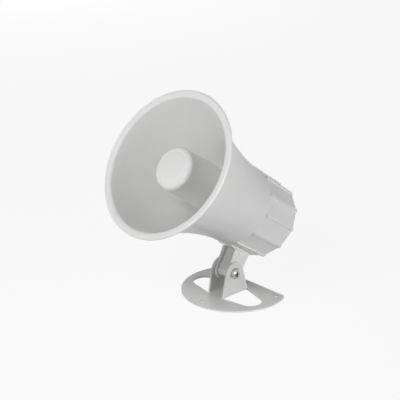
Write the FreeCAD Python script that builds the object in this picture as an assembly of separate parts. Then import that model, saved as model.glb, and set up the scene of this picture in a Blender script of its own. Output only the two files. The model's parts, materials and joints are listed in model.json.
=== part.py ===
import FreeCAD
import Part

import math
import os

from FreeCAD import Vector

# Horn siren loudspeaker on a tilting bracket. Millimetres and degrees.
# +X is the object's right seen from its front, +Y is behind it, +Z is up.
# The origin is the centre of the base plate's round edge, on its underside.

# --- Driving dimensions: sheet-steel bracket ---
sheet = 1.5                  # thickness of the bracket's steel
fixing_hole = 2.25           # radius of the three screw holes in the plate
rear_holes_apart = 80.0
rear_holes_back = 16.0       # their line, behind the plate's centre
rear_hole_margin = 7.4       # centre of a rear hole to the round edge
back_edge_margin = 6.0       # and to the straight rear edge
front_hole_margin = 9.0      # centre of the front hole to the round edge
plate_corner = 4.0
pivot_ahead = 9.5            # pivot axis, in front of the plate's centre
pivot_height = 23.0
ear_gap = 17.0               # between the two ears' inner faces
ear_tip_radius = 11.2
ear_front = 15.0             # foot of an ear, in front of and behind the pivot
ear_rear = 17.6
bend_radius = 1.5            # inside radius of the folds
bend_factor = 0.4            # place of the neutral line in a fold

# --- Driving dimensions: pivot fastener ---
bolt_radius = 2.5
bolt_slack = 0.2             # radial clearance of a screw in a plain hole
running_gap = 0.08           # radial clearance of the leg on the bolt
bolt_head_radius = 5.3
bolt_head_height = 3.2
bolt_end = 1.5               # bolt beyond the nut
nut_flats = 8.0
nut_height = 4.0
washer_radius = 5.0
washer_thickness = 1.0
spring_washer_radius = 4.4
spring_washer_thickness = 1.3
thread_slack = 0.05          # radial gap between a screw and what is threaded on it

# --- Driving dimensions: horn ---
tilt = 35.0                  # mouth raised above level
bell_radius = 70.0
flare_length = 108.3         # from the seam with the housing to the mouth
lip_overhang = 3.4           # lip's edge beyond the outer wall produced to the mouth
flare_power = 1.8
bell_wall = 2.5
lip_thickness = 2.6
bulkhead = 5.0               # floor of the bell, which carries the driver
bulkhead_ahead = 3.0         # its rear face, in front of the seam
floor_round = 6.0            # hollow corner between the bell's floor and wall
tongue_length = 3.0
tongue_thickness = 1.3
fit_gap = 0.1                # gap between mouldings that slide together

bullet_radius = 20.2
bullet_setback = 14.3        # widest part of the bullet, behind the mouth
bullet_edge = 4.5            # radius round its face
bullet_crown = 2.0           # rise of its domed face
bullet_flare = 1.3           # how much wider its open end is
bullet_wall = 2.0
bullet_clear = 20.0          # open end, in front of the seam
throat_radius = 8.0
tube_mouth = 12.0            # inside radius of the tone tube's front end
tube_wall = 1.8
tube_gap = 14.0              # between the tone tube's end and the bullet's inner face
fin_thickness = 1.8
fin_length = 34.0

# --- Driving dimensions: ribbed rear housing and its leg ---
sides = 12
housing_radius = 38.4        # across the corners at the seam, to the centre
housing_draft = 0.9          # how much smaller that radius is at the rear
housing_wall = 2.4
rear_wall = 2.6
rear_round = 3.0
rib_height = 1.0
rib_width = 2.0
pivot_from_rear = 20.0       # pivot axis, in front of the housing's rear face
pad_proud = 0.8              # leg's root below the housing's corners
pad_front = 18.0             # front end of that root, ahead of the pivot
leg_length = 20.2            # pivot to the underside of that root
leg_front = 8.3
leg_root_front = 11.5        # the leg's front edge spreads to this at its root
leg_rear = 10.3
leg_slack = 0.3              # between the leg and each ear
cheek = 2.3
web = 2.4
web_recess = 2.3
screw_tube = 3.2
housing_screw = 1.5
housing_screw_head = 2.6
grommet_down = 19.0          # lead hole below the horn's axis
lead_hole = 3.0
grommet_neck = 4.8
grommet_brim = 1.6           # brim beyond the neck
grommet_lip = 1.2            # thickness of each brim
seal_depth = 1.6

# --- Driving dimensions: driver, front to back ---
tube_flange = 2.5
gasket = 1.0
cap_front = 3.0
dome_rise = 4.2
dome_gap = 1.1               # air in front of the diaphragm
dome_skin = 0.4
surround_skin = 0.4
surround_roll = 3.2          # width of the half roll
surround_dip = 0.6           # depth of it
clamp_ring = 1.0
top_plate = 4.0
magnet_height = 9.0
yoke_plate = 4.0
coil_radius = 13.0
coil_depth = 7.0
coil_wire = 0.45
magnetic_gap = 0.5           # coil to steel, on each side
pole_vent = 3.0
driver_screw = 1.5
driver_screw_head = 2.6
tags_apart = 7.0             # between the middles of the driver's two terminal tags
tag_width = 3.0
tag_sheet = 0.5
tag_length = 6.0
strip_thickness = 1.5

# --- Driving dimensions: siren board ---
board_width = 40.0
board_depth = 29.0
board_thickness = 1.6
board_up = 6.0               # board's middle above the horn's axis
post_height = 5.4
post_radius = 2.6
part_room = 10.9             # between the board and the yoke, for the parts on it
board_screw = 1.1
board_screw_head = 2.0
board_screw_head_height = 1.4
chip_pitch = 2.54
lead_radius = 0.7

# --- Worked out from those ---
plate_radius = math.hypot(rear_holes_apart / 2, rear_holes_back) + rear_hole_margin
plate_back = rear_holes_back + back_edge_margin
front_hole_ahead = plate_radius - front_hole_margin
flare_radius = bell_radius - lip_overhang
ear_in = ear_gap / 2
ear_out = ear_in + sheet
fold_start = ear_in - bend_radius
bend_loss = 2 * (bend_radius + sheet) - math.pi / 2 * (bend_radius + bend_factor * sheet)
leg_half = ear_in - leg_slack
pivot = Vector(0, -pivot_ahead, pivot_height)

pad_radius = housing_radius + pad_proud
axis_height = leg_length + pad_radius
housing_inner = (housing_radius - housing_draft) * math.cos(math.pi / sides) - housing_wall
tongue_outer = housing_inner + tongue_thickness
screw_circle = housing_inner - screw_tube + 0.4
driver_radius = screw_circle - screw_tube - 3 * fit_gap
driver_circle = driver_radius - driver_screw_head + 0.5
magnet_radius = driver_circle - driver_screw_head - 0.5
clamp_inner = driver_circle - 5.0
pole_radius = coil_radius - magnetic_gap
top_bore = coil_radius + 2 * coil_wire + magnetic_gap

# Stations along the horn's axis, forward of the pivot.
driver_depth = (tube_flange + gasket + cap_front + dome_gap + dome_rise + surround_skin
                + clamp_ring + top_plate + magnet_height + yoke_plate)
housing_length = driver_depth - bulkhead_ahead + part_room + board_thickness + post_height + rear_wall
rear_s = -pivot_from_rear
seam_s = rear_s + housing_length
mouth_s = seam_s + flare_length
bulkhead_s = seam_s + bulkhead_ahead
floor_s = bulkhead_s + bulkhead
flange_s = bulkhead_s - tube_flange
gasket_s = flange_s - gasket
cap_s = gasket_s - cap_front
rim_s = cap_s - dome_gap - dome_rise
clamp_s = rim_s - surround_skin
top_s = clamp_s - clamp_ring
magnet_s = top_s - top_plate
yoke_s = magnet_s - magnet_height
yoke_back_s = yoke_s - yoke_plate
inside_s = rear_s + rear_wall
board_back_s = inside_s + post_height
board_s = board_back_s + board_thickness
bullet_s = mouth_s - bullet_setback
bullet_rear_s = seam_s + bullet_clear
nose_s = bullet_s + bullet_edge + bullet_crown
tube_end_s = nose_s - bullet_wall - tube_gap
fin_front_s = tube_end_s - 4.0
fin_rear_s = max(fin_front_s - fin_length, bullet_rear_s + 2.0)
seal_s = seam_s - tongue_length
screw_seat_s = rear_s + rear_wall


# --- Shape helpers. Horn pieces are drawn with the horn level, then tilted. ---
def station(s, r=0.0, x=0.0):
    """Point s forward of the pivot, r above the horn's axis and x to the right."""
    return Vector(x, pivot.y - s, pivot.z + axis_height + r)


def path(start, moves):
    """Edges from start: a point is a line, a pair of points an arc, a list a smooth curve."""
    edges, here = [], start
    for move in moves:
        if isinstance(move, list):
            curve = Part.BSplineCurve()
            curve.interpolate([station(*p) for p in [here] + move])
            edges.append(curve.toShape())
            here = move[-1]
        elif isinstance(move[0], tuple):
            edges.append(Part.Arc(station(*here), station(*move[0]), station(*move[1])).toShape())
            here = move[1]
        else:
            edges.append(Part.makeLine(station(*here), station(*move)))
            here = move
    return edges


def turned(start, *moves):
    """Solid turned about the horn's axis from a closed outline of (s, radius) points."""
    face = Part.Face(Part.Wire(path(start, moves + (start,))))
    solid = face.revolve(station(0), Vector(0, 1, 0), 360)
    return solid if solid.Volume > 0 else solid.reversed()


def rod(s_rear, s_front, radius, r=0.0, x=0.0):
    return Part.makeCylinder(radius, s_front - s_rear, station(s_rear, r, x), Vector(0, -1, 0))


def ring(s_rear, s_front, inner, outer):
    return rod(s_rear, s_front, outer).cut(rod(s_rear - 1, s_front + 1, inner))


def block(s_rear, s_front, r_low, r_high, x_low, x_high):
    corner = station(s_front, r_low, x_low)
    return Part.makeBox(x_high - x_low, s_front - s_rear, r_high - r_low, corner)


def pin(x_low, x_high, radius, centre=pivot):
    """Cylinder along X, centred on the pivot unless told otherwise."""
    return Part.makeCylinder(radius, x_high - x_low, Vector(x_low, centre.y, centre.z), Vector(1, 0, 0))


def dome_arc(s_rim, r_rim, rise):
    """Middle and crown of an arc from a rim to the axis, rise beyond the rim's station."""
    ball = (r_rim ** 2 + rise ** 2) / (2 * abs(rise))
    half = 0.5 * r_rim
    sag = ball - math.sqrt(ball ** 2 - half ** 2)
    crown_s = s_rim + rise
    return (crown_s - math.copysign(sag, rise), half), (crown_s, 0)


def around(shape, count, start=0.0):
    """Copies of a shape set evenly round the horn's axis."""
    copies = []
    for i in range(count):
        copy = shape.copy()
        copy.rotate(station(0), Vector(0, -1, 0), start + 360 * i / count)
        copies.append(copy)
    return copies


def ring_of_holes(s_rear, s_front, radius, circle, count, start):
    return around(rod(s_rear, s_front, radius, circle), count, start)


def joined(first, others):
    """One solid from shapes that overlap or touch."""
    return first.fuse(others).removeSplitter()


def cross_recess(tip, inward, up, size, depth):
    """Tapered cross-shaped driver recess that opens at the point tip."""
    side = inward.cross(up)
    arms = []
    for along, across in ((up, side), (side, up)):
        sections = []
        for level, half in ((-0.5, size), (depth, 0.45 * size)):
            corners = [tip + inward * level + along * (a * half) + across * (b * 0.22 * size)
                       for a, b in ((-1, -1), (1, -1), (1, 1), (-1, 1))]
            sections.append(Part.makePolygon(corners + corners[:1]))
        arms.append(Part.makeLoft(sections, True, True))
    return arms[0].fuse(arms[1])


def axial_screw(seat_s, length, radius, head, head_height, circle, count, start):
    """Pan-head screws from behind, their heads' undersides at seat_s."""
    body = joined(rod(seat_s, seat_s + length, radius, circle),
                  [rod(seat_s - head_height, seat_s, head, circle)])
    recess = cross_recess(station(seat_s - head_height, circle), Vector(0, -1, 0), Vector(0, 0, 1),
                          0.55 * head, 0.7 * head_height)
    return Part.makeCompound(around(body.cut(recess), count, start))


# --- Bracket ---
def tab_outline(length, radius):
    """Tab of the ears' shape, as (along, across) points: foot at 0, round tip about length."""
    def touch(foot):
        """Where a line from the foot's corner meets the round tip."""
        turn = math.acos(radius / math.hypot(length, foot))
        angle = math.atan2(foot, -length) + math.copysign(turn, -foot)
        return (length + radius * math.cos(angle), radius * math.sin(angle))
    tip = (length + radius, 0.0)
    return (0.0, -ear_front), touch(-ear_front), tip, touch(ear_rear), (0.0, ear_rear)


def tab_face(length, radius, place):
    """Face of that tab, with place turning (along, across) into a point of the row's frame."""
    foot, front, tip, back, heel = [place(*p) for p in tab_outline(length, radius)]
    edges = [Part.makeLine(foot, front), Part.Arc(front, tip, back).toShape(),
             Part.makeLine(back, heel), Part.makeLine(heel, foot)]
    return Part.Face(Part.Wire(edges))


def bent_strip(side):
    """Fold and upright of one ear as a strip, wider than the ear, on side +1 or -1."""
    top = pivot_height + ear_tip_radius + 5
    turn = math.sqrt(0.5)
    centre_x, centre_z = fold_start, sheet + bend_radius

    def at(x, z):
        return Vector(side * x, -plate_radius, z)

    def on_fold(radius):
        return at(centre_x + radius * turn, centre_z - radius * turn)
    outer, inner = bend_radius + sheet, bend_radius
    edges = [
        Part.Arc(at(fold_start, 0), on_fold(outer), at(ear_out, centre_z)).toShape(),
        Part.makeLine(at(ear_out, centre_z), at(ear_out, top)),
        Part.makeLine(at(ear_out, top), at(ear_in, top)),
        Part.makeLine(at(ear_in, top), at(ear_in, centre_z)),
        Part.Arc(at(ear_in, centre_z), on_fold(inner), at(fold_start, sheet)).toShape(),
        Part.makeLine(at(fold_start, sheet), at(fold_start, 0)),
    ]
    return Part.Face(Part.Wire(edges)).extrude(Vector(0, 2 * plate_radius, 0))


def make_ear(side):
    outline = tab_face(pivot_height, ear_tip_radius, lambda a, c: Vector(-ear_out - 5, pivot.y + c, a))
    return bent_strip(side).common(outline.extrude(Vector(2 * ear_out + 10, 0, 0)))


def make_cutout(side):
    """Hole that an ear leaves in the plate: the ear laid flat."""
    flat = tab_face(pivot_height - bend_loss, ear_tip_radius,
                    lambda a, c: Vector(side * (ear_out + a), pivot.y + c, -1))
    tab = flat.extrude(Vector(0, 0, sheet + 2))
    fold = Part.makeBox(ear_out - fold_start, ear_front + ear_rear, sheet + 2,
                        Vector(fold_start if side > 0 else -ear_out, pivot.y - ear_front, -1))
    return tab.fuse(fold)


def make_plate():
    """Disc with a straight rear edge and small round corners there."""
    across = math.sqrt((plate_radius - plate_corner) ** 2 - (plate_back - plate_corner) ** 2)
    corner_y = plate_back - plate_corner
    bearing = math.atan2(corner_y, across)
    middle = (bearing + math.pi / 2) / 2

    def corner(side, angle):
        return Vector(side * (across + plate_corner * math.cos(angle)),
                      corner_y + plate_corner * math.sin(angle), 0)

    def rim(side):
        return Vector(side * plate_radius * math.cos(bearing), plate_radius * math.sin(bearing), 0)
    edges = [
        Part.makeLine(corner(-1, math.pi / 2), corner(1, math.pi / 2)),
        Part.Arc(corner(1, math.pi / 2), corner(1, middle), rim(1)).toShape(),
        Part.Arc(rim(1), Vector(0, -plate_radius, 0), rim(-1)).toShape(),
        Part.Arc(rim(-1), corner(-1, middle), corner(-1, math.pi / 2)).toShape(),
    ]
    return Part.Face(Part.Wire(edges)).extrude(Vector(0, 0, sheet))


def fixing_holes():
    places = [(0, -front_hole_ahead)] + [(side * rear_holes_apart / 2, rear_holes_back) for side in (-1, 1)]
    return [Part.makeCylinder(fixing_hole, sheet + 2, Vector(x, y, -1)) for x, y in places]


def make_bracket():
    plate = make_plate().cut([make_cutout(side) for side in (-1, 1)] + fixing_holes())
    bracket = joined(plate, [make_ear(side) for side in (-1, 1)])
    return bracket.cut(pin(-ear_out - 1, ear_out + 1, bolt_radius + bolt_slack))


# --- Pivot fastener ---
washer_x = -ear_out - washer_thickness
spring_x = washer_x - spring_washer_thickness
nut_x = spring_x - nut_height
bolt_tip_x = nut_x - bolt_end


def make_pivot_bolt():
    """Pan-head machine screw from the right, with a domed head and a cross recess."""
    crown_x = ear_out + bolt_head_height
    edge_x = ear_out + 0.45 * bolt_head_height
    rim_x = ear_out + 0.8 * bolt_head_height

    def at(x, radius):
        return Vector(x, pivot.y, pivot.z + radius)
    edges = [
        Part.makeLine(at(bolt_tip_x, 0), at(bolt_tip_x, bolt_radius - 0.5)),
        Part.makeLine(at(bolt_tip_x, bolt_radius - 0.5), at(bolt_tip_x + 0.5, bolt_radius)),
        Part.makeLine(at(bolt_tip_x + 0.5, bolt_radius), at(ear_out, bolt_radius)),
        Part.makeLine(at(ear_out, bolt_radius), at(ear_out, bolt_head_radius)),
        Part.makeLine(at(ear_out, bolt_head_radius), at(edge_x, bolt_head_radius)),
        Part.Arc(at(edge_x, bolt_head_radius), at(rim_x, 0.8 * bolt_head_radius), at(crown_x, 0)).toShape(),
        Part.makeLine(at(crown_x, 0), at(bolt_tip_x, 0)),
    ]
    bolt = Part.Face(Part.Wire(edges)).revolve(pivot, Vector(1, 0, 0), 360)
    bolt = bolt if bolt.Volume > 0 else bolt.reversed()
    return bolt.cut(cross_recess(at(crown_x, 0), Vector(-1, 0, 0), Vector(0, 0, 1),
                                 0.5 * bolt_head_radius, 0.7 * bolt_head_height))


def make_flat_washer():
    return pin(washer_x, -ear_out, washer_radius).cut(
        pin(washer_x - 1, -ear_out + 1, bolt_radius + bolt_slack))


def make_spring_washer():
    """Split ring."""
    turn = pin(spring_x, washer_x, spring_washer_radius).cut(
        pin(spring_x - 1, washer_x + 1, bolt_radius + bolt_slack))
    split = Part.makeBox(spring_washer_thickness + 2, 0.7, spring_washer_radius + 1,
                         Vector(spring_x - 1, pivot.y - 0.35, pivot.z))
    split.rotate(pivot, Vector(1, 0, 0), 20)
    return turn.cut(split)


def make_pivot_nut():
    """Hexagon nut with its corners turned off on both faces."""
    corner = nut_flats / math.sqrt(3)
    points = [Vector(nut_x, pivot.y + corner * math.cos(a), pivot.z + corner * math.sin(a))
              for a in (math.pi / 3 * i for i in range(7))]
    prism = Part.Face(Part.makePolygon(points)).extrude(Vector(nut_height, 0, 0))
    bevel = corner - nut_flats / 2
    barrel = pin(nut_x + bevel, spring_x - bevel, corner + 0.1)
    for x, towards in ((nut_x + bevel, -1), (spring_x - bevel, 1)):
        barrel = barrel.fuse(Part.makeCone(corner + 0.1, nut_flats / 2 - 0.1, bevel,
                                           Vector(x, pivot.y, pivot.z), Vector(towards, 0, 0)))
    return prism.common(barrel).cut(pin(nut_x - 1, spring_x + 1, bolt_radius + thread_slack))


# --- Horn ---
def flare(s):
    """Outer radius of the bell's wall at a station."""
    return housing_radius + (flare_radius - housing_radius) * ((s - seam_s) / flare_length) ** flare_power


def flare_inside(s):
    """Point of the bell's inner surface opposite the outer one at s, a wall's thickness away."""
    share = max((s - seam_s) / flare_length, 0.0)
    slope = flare_power * (flare_radius - housing_radius) / flare_length * share ** (flare_power - 1)
    normal = math.hypot(1, slope)
    return (s + bell_wall * slope / normal, flare(s) - bell_wall / normal)


def make_bell():
    lip_back_s = mouth_s - lip_thickness
    soft = 0.6 * lip_thickness
    tip = bell_radius - lip_thickness / 2
    outer = [(lip_back_s + (seam_s - lip_back_s) * i / 7, 0) for i in range(8)]
    outer = [(s, flare(s)) for s, _ in outer]
    first_s = floor_s + floor_round
    last_s = mouth_s - soft - 1.0
    inner = [flare_inside(first_s + (last_s - first_s) * i / 7) for i in range(8)]
    soft_start = inner[-1]
    soft_end = (mouth_s, soft_start[1] + 1.4 * soft)
    soft_middle = (mouth_s - 0.28 * (mouth_s - soft_start[0]), soft_start[1] + 0.55 * soft)
    wall_start = inner[0]
    bend_start = (floor_s, wall_start[1] - floor_round)
    bend_middle = (floor_s + 0.29 * (wall_start[0] - floor_s), wall_start[1] - 0.29 * floor_round)
    shell = turned(
        (seal_s, housing_inner),
        (bulkhead_s, housing_inner),
        (bulkhead_s, tube_hole()),
        (floor_s, tube_hole()),
        bend_start,
        (bend_middle, wall_start),
        inner[1:],
        (soft_middle, soft_end),
        (mouth_s, tip),
        ((mouth_s - lip_thickness / 2, bell_radius), (lip_back_s, tip)),
        outer[0],
        outer[1:],
        (seam_s, tongue_outer),
        (seal_s, tongue_outer),
    )
    bosses = ring_of_holes(seal_s, bulkhead_s + 1, screw_tube, screw_circle, 3, 0)
    shell = joined(shell, bosses)
    pilots = ring_of_holes(seal_s, floor_s - 1.5, housing_screw + thread_slack, screw_circle, 3, 0)
    pilots += ring_of_holes(bulkhead_s - 1, floor_s - 1, driver_screw + thread_slack, driver_circle, 4, 45)
    return shell.cut(pilots)


def tube_radius(s):
    """Inside radius of the tone tube, which widens evenly from throat to end."""
    share = (s - bulkhead_s) / (tube_end_s - bulkhead_s)
    return throat_radius + (tube_mouth - throat_radius) * share


def tube_hole():
    return tube_radius(floor_s) + tube_wall + fit_gap


def bullet_inner(s):
    """Inside radius of the bullet's skirt."""
    share = (bullet_s - s) / (bullet_s - bullet_rear_s)
    return bullet_radius + bullet_flare * share - bullet_wall


def make_tone_tube():
    """Flanged tube that takes the sound forward, with three fins that carry the bullet."""
    tube = turned(
        (flange_s, throat_radius),
        (bulkhead_s, throat_radius),
        (tube_end_s, tube_mouth),
        (tube_end_s, tube_mouth + tube_wall),
        (floor_s, tube_radius(floor_s) + tube_wall),
        (bulkhead_s, tube_radius(floor_s) + tube_wall),
        (bulkhead_s, driver_radius),
        (flange_s, driver_radius),
    )
    fin = block(fin_rear_s, fin_front_s, tube_mouth + 0.5 * tube_wall - 1.5, bullet_radius,
                -fin_thickness / 2, fin_thickness / 2)
    skirt = turned((fin_rear_s, 0), (fin_front_s, 0), (fin_front_s, bullet_inner(fin_front_s) - fit_gap),
                   (fin_rear_s, bullet_inner(fin_rear_s) - fit_gap))
    fins = [f.common(skirt) for f in around(fin, 3, 60)]
    tube = joined(tube, fins)
    bore = turned((flange_s - 1, 0), (flange_s - 1, throat_radius), (bulkhead_s, throat_radius),
                  (tube_end_s + 1, tube_radius(tube_end_s + 1)), (tube_end_s + 1, 0))
    holes = ring_of_holes(flange_s - 1, bulkhead_s + 1, driver_screw + bolt_slack, driver_circle, 4, 45)
    return tube.cut([bore] + holes)


def make_bullet():
    """Cup that turns the sound back, with a soft edge and a domed face."""
    lean = math.sqrt(0.5) * bullet_edge
    edge_middle = (bullet_s + lean, bullet_radius - bullet_edge + lean)
    face_edge = (bullet_s + bullet_edge, bullet_radius - bullet_edge)
    ledge = bullet_inner(fin_front_s) - 1.2
    roof_s = nose_s - bullet_wall - bullet_crown
    return turned(
        (bullet_rear_s, bullet_inner(bullet_rear_s)),
        (bullet_rear_s, bullet_inner(bullet_rear_s) + bullet_wall),
        (bullet_s, bullet_radius),
        (edge_middle, face_edge),
        dome_arc(*face_edge, bullet_crown),
        (roof_s, 0),
        (roof_s, ledge - bullet_edge),
        ((roof_s - 0.29 * bullet_edge, ledge - 0.29 * bullet_edge), (roof_s - bullet_edge, ledge)),
        (fin_front_s, ledge),
        (fin_front_s, bullet_inner(fin_front_s)),
    )


# --- Rear housing ---
def housing_corner(s):
    """Radius to the housing's corners at a station."""
    return housing_radius - housing_draft * (seam_s - s) / housing_length


def regular_wire(s, radius):
    points = [station(s, radius * math.cos(2 * math.pi * i / sides), radius * math.sin(2 * math.pi * i / sides))
              for i in range(sides + 1)]
    return Part.makePolygon(points)


def make_rib():
    """Bar along one corner of the housing, following its draft."""
    wires = []
    for s in (rear_s, seam_s):
        low, high = housing_corner(s) - housing_wall / 2, housing_corner(s) + rib_height
        corners = [station(s, r, x) for r, x in ((low, -rib_width / 2), (high, -rib_width / 2),
                                                 (high, rib_width / 2), (low, rib_width / 2))]
        wires.append(Part.makePolygon(corners + corners[:1]))
    return Part.makeLoft(wires, True, True)


def make_leg():
    """Two cheeks, a recessed web between them and a sleeve round the bolt."""
    centre_s = (leg_front - leg_rear) / 2
    radius = (leg_front + leg_rear) / 2
    top_r = -housing_inner - 0.5
    foot_r = -axis_height
    profile = path((leg_root_front, top_r), [
        (leg_front, foot_r),
        ((centre_s, foot_r - radius), (-leg_rear, foot_r)),
        (-leg_rear, top_r),
        (leg_root_front, top_r),
    ])
    solid = Part.Face(Part.Wire(profile))
    solid.translate(Vector(-leg_half, 0, 0))
    solid = solid.extrude(Vector(2 * leg_half, 0, 0))
    inside = leg_half - cheek
    low_r = foot_r - radius - 1
    web_front = leg_front - web_recess
    hollow_front = block(web_front, leg_root_front + 1, low_r, -pad_radius, -inside, inside)
    hollow_rear = block(-leg_rear - 1, web_front - web, low_r, -pad_radius, -inside, inside)
    hollow_low = block(web_front - web - 1, web_front + 1, low_r, foot_r, -inside, inside)
    sleeve = pin(-inside - 0.5, inside + 0.5, web_front)
    stiffener = block(-leg_rear + web_recess, web_front - 0.5, foot_r, -pad_radius + 0.5, -web / 2, web / 2)
    return joined(solid.cut([hollow_front, hollow_rear, hollow_low]), [sleeve, stiffener])


def housing_outside():
    """Ribbed outer form of the housing, not yet hollow."""
    body = Part.makeLoft([regular_wire(rear_s, housing_corner(rear_s)),
                          regular_wire(seam_s, housing_radius)], True, True)
    body = body.fuse(around(make_rib(), sides))
    tall = housing_radius + rib_height + 1
    back = housing_corner(rear_s) + rib_height
    envelope = turned((rear_s, 0), (rear_s, back - rear_round),
                      ((rear_s + 0.29 * rear_round, back - 0.29 * rear_round), (rear_s + rear_round, back)),
                      (seam_s, tall), (seam_s, 0))
    return body.common(envelope).removeSplitter()


def make_pivot_leg():
    """Leg and the pad at its root, which fit against the underside of the housing."""
    pad = block(-leg_rear, pad_front, -pad_radius, -housing_inner - 0.5, -leg_half, leg_half)
    leg = joined(pad, [make_leg()]).cut(housing_outside())
    return leg.cut(pin(-leg_half - 1, leg_half + 1, bolt_radius + running_gap))


def make_housing():
    body = housing_outside().cut(rod(inside_s, seam_s + 1, housing_inner))
    tubes = ring_of_holes(rear_s + rear_wall / 2, seal_s, screw_tube, screw_circle, 3, 0)
    posts = [rod(rear_s + rear_wall / 2, board_back_s, post_radius, r, x) for r, x in board_corners()]
    body = joined(body, tubes + posts)
    bores = ring_of_holes(rear_s - 1, seam_s, housing_screw + bolt_slack, screw_circle, 3, 0)
    bores += ring_of_holes(rear_s - 1, screw_seat_s, housing_screw_head + fit_gap, screw_circle, 3, 0)
    bores += [rod(inside_s, board_s, board_screw + thread_slack, r, x) for r, x in board_corners()]
    bores += [ring(seal_s - seal_depth, seam_s + 1, housing_inner - 0.5, tongue_outer + fit_gap)]
    bores += [rod(rear_s - 1, inside_s + 1, grommet_neck, -grommet_down)]
    return body.cut(bores)


def make_housing_seal():
    return ring(seal_s - seal_depth, seal_s, housing_inner + fit_gap, tongue_outer)


def make_housing_screws():
    length = floor_s - 2.5 - screw_seat_s
    return axial_screw(screw_seat_s, length, housing_screw, housing_screw_head, 2.0, screw_circle, 3, 0)


def make_grommet():
    """Rubber ring with a groove that grips the rear wall."""
    brim = grommet_neck + grommet_brim
    outline = path((rear_s - grommet_lip, lead_hole), [
        (inside_s + grommet_lip, lead_hole),
        (inside_s + grommet_lip, brim - 0.6),
        (inside_s, brim),
        (inside_s, grommet_neck - fit_gap),
        (rear_s, grommet_neck - fit_gap),
        (rear_s, brim),
        (rear_s - grommet_lip, brim - 0.6),
        (rear_s - grommet_lip, lead_hole),
    ])
    solid = Part.Face(Part.Wire(outline)).revolve(station(0), Vector(0, 1, 0), 360)
    solid = solid if solid.Volume > 0 else solid.reversed()
    solid.translate(Vector(0, 0, -grommet_down))
    return solid


# --- Driver ---
def make_throat_gasket():
    holes = ring_of_holes(gasket_s - 1, flange_s + 1, driver_screw + bolt_slack, driver_circle, 4, 45)
    return ring(gasket_s, flange_s, throat_radius, driver_radius).cut(holes)


def cap_throat():
    """Tapered space through the middle of the cap."""
    return turned((cap_s - cap_front, 0), (cap_s - cap_front, throat_radius - 2),
                  (gasket_s + 1, throat_radius + 0.5), (gasket_s + 1, 0))


def make_compression_cap():
    """Front plate over the diaphragm, hollowed to its shape, with a tapered throat."""
    rim = coil_radius + 1
    chamber = rim_s + dome_gap
    middle, crown = dome_arc(chamber, rim, dome_rise)
    solid = turned(
        (cap_s - cap_front + 0.2, 0), (gasket_s, 0), (gasket_s, driver_radius), (clamp_s, driver_radius),
        (clamp_s, clamp_inner), (chamber, clamp_inner), (chamber, rim), (middle, crown),
    )
    holes = ring_of_holes(clamp_s - 1, gasket_s + 1, driver_screw + bolt_slack, driver_circle, 4, 45)
    return solid.cut([cap_throat()] + holes)


def make_phase_plug():
    """Cone on three spokes in the throat, which evens out the sound's path."""
    base_s = cap_s + 0.3
    cone = turned((base_s, 0), (flange_s, 0), (flange_s - 0.4, 1.0), (base_s, 4.0))
    spoke = block(base_s, base_s + 1.2, 0, throat_radius + 1, -0.5, 0.5)
    return joined(cone, [s.common(cap_throat()) for s in around(spoke, 3, 30)])


def make_dome():
    low_s = rim_s - dome_skin
    low_middle, low_crown = dome_arc(low_s, coil_radius, dome_rise)
    return turned(
        (rim_s, coil_radius), dome_arc(rim_s, coil_radius, dome_rise), low_crown,
        (low_middle, (low_s, coil_radius)))


def make_former():
    """Thin tube that hangs from the dome's rim into the magnetic gap."""
    return ring(rim_s - dome_skin - coil_depth, rim_s - dome_skin, coil_radius - 0.2, coil_radius)


def make_voice_coil():
    """Two layers of wire near the former's free end."""
    start = rim_s - dome_skin - coil_depth + 0.4
    return ring(start, start + 0.6 * coil_depth, coil_radius + 0.02, coil_radius + 2 * coil_wire)


def make_surround():
    """Flexible ring round the dome: a half roll and a flat clamped edge."""
    inner = coil_radius + 0.35
    roll_start, roll_end = inner + 0.8, inner + 0.8 + surround_roll
    roll_middle = (roll_start + roll_end) / 2
    low, high = clamp_s, clamp_s + surround_skin
    return turned(
        (low, inner), (high, inner), (high, roll_start),
        ((high - surround_dip, roll_middle), (high, roll_end)),
        (high, clamp_inner - 0.2), (low, clamp_inner - 0.2), (low, roll_end),
        ((low - surround_dip, roll_middle), (low, roll_start)),
    )


def make_clamp_ring():
    holes = ring_of_holes(top_s - 1, clamp_s + 1, driver_screw + bolt_slack, driver_circle, 4, 45)
    return ring(top_s, clamp_s, clamp_inner - 1.2, driver_radius).cut(holes)


def make_top_plate():
    holes = ring_of_holes(magnet_s - 1, top_s + 1, driver_screw + bolt_slack, driver_circle, 4, 45)
    return ring(magnet_s, top_s, top_bore, driver_radius).cut(holes)


def make_magnet():
    return turned((yoke_s, top_bore + 2), (magnet_s, top_bore + 2), (magnet_s, magnet_radius - 0.6),
                  (magnet_s - 0.6, magnet_radius), (yoke_s + 0.6, magnet_radius), (yoke_s, magnet_radius - 0.6))


def make_yoke():
    """Back plate and pole piece in one, with a vent through the pole."""
    return turned(
        (yoke_back_s, pole_vent), (top_s, pole_vent), (top_s, pole_radius - 0.2), (yoke_s, pole_radius - 0.2),
        (yoke_s, magnet_radius - 0.5), (yoke_back_s + 0.8, magnet_radius - 0.5),
        (yoke_back_s, magnet_radius - 1.3),
    )


def make_driver_screws():
    length = floor_s - 1.5 - magnet_s
    return axial_screw(magnet_s, length, driver_screw, driver_screw_head, 1.8, driver_circle, 4, 45)


def make_terminal_strip():
    """Insulating strip on the rear of the top plate, between two screws."""
    return block(magnet_s - strip_thickness, magnet_s, -tags_apart, tags_apart,
                 magnet_radius + 0.3, driver_radius - 0.4)


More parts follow.
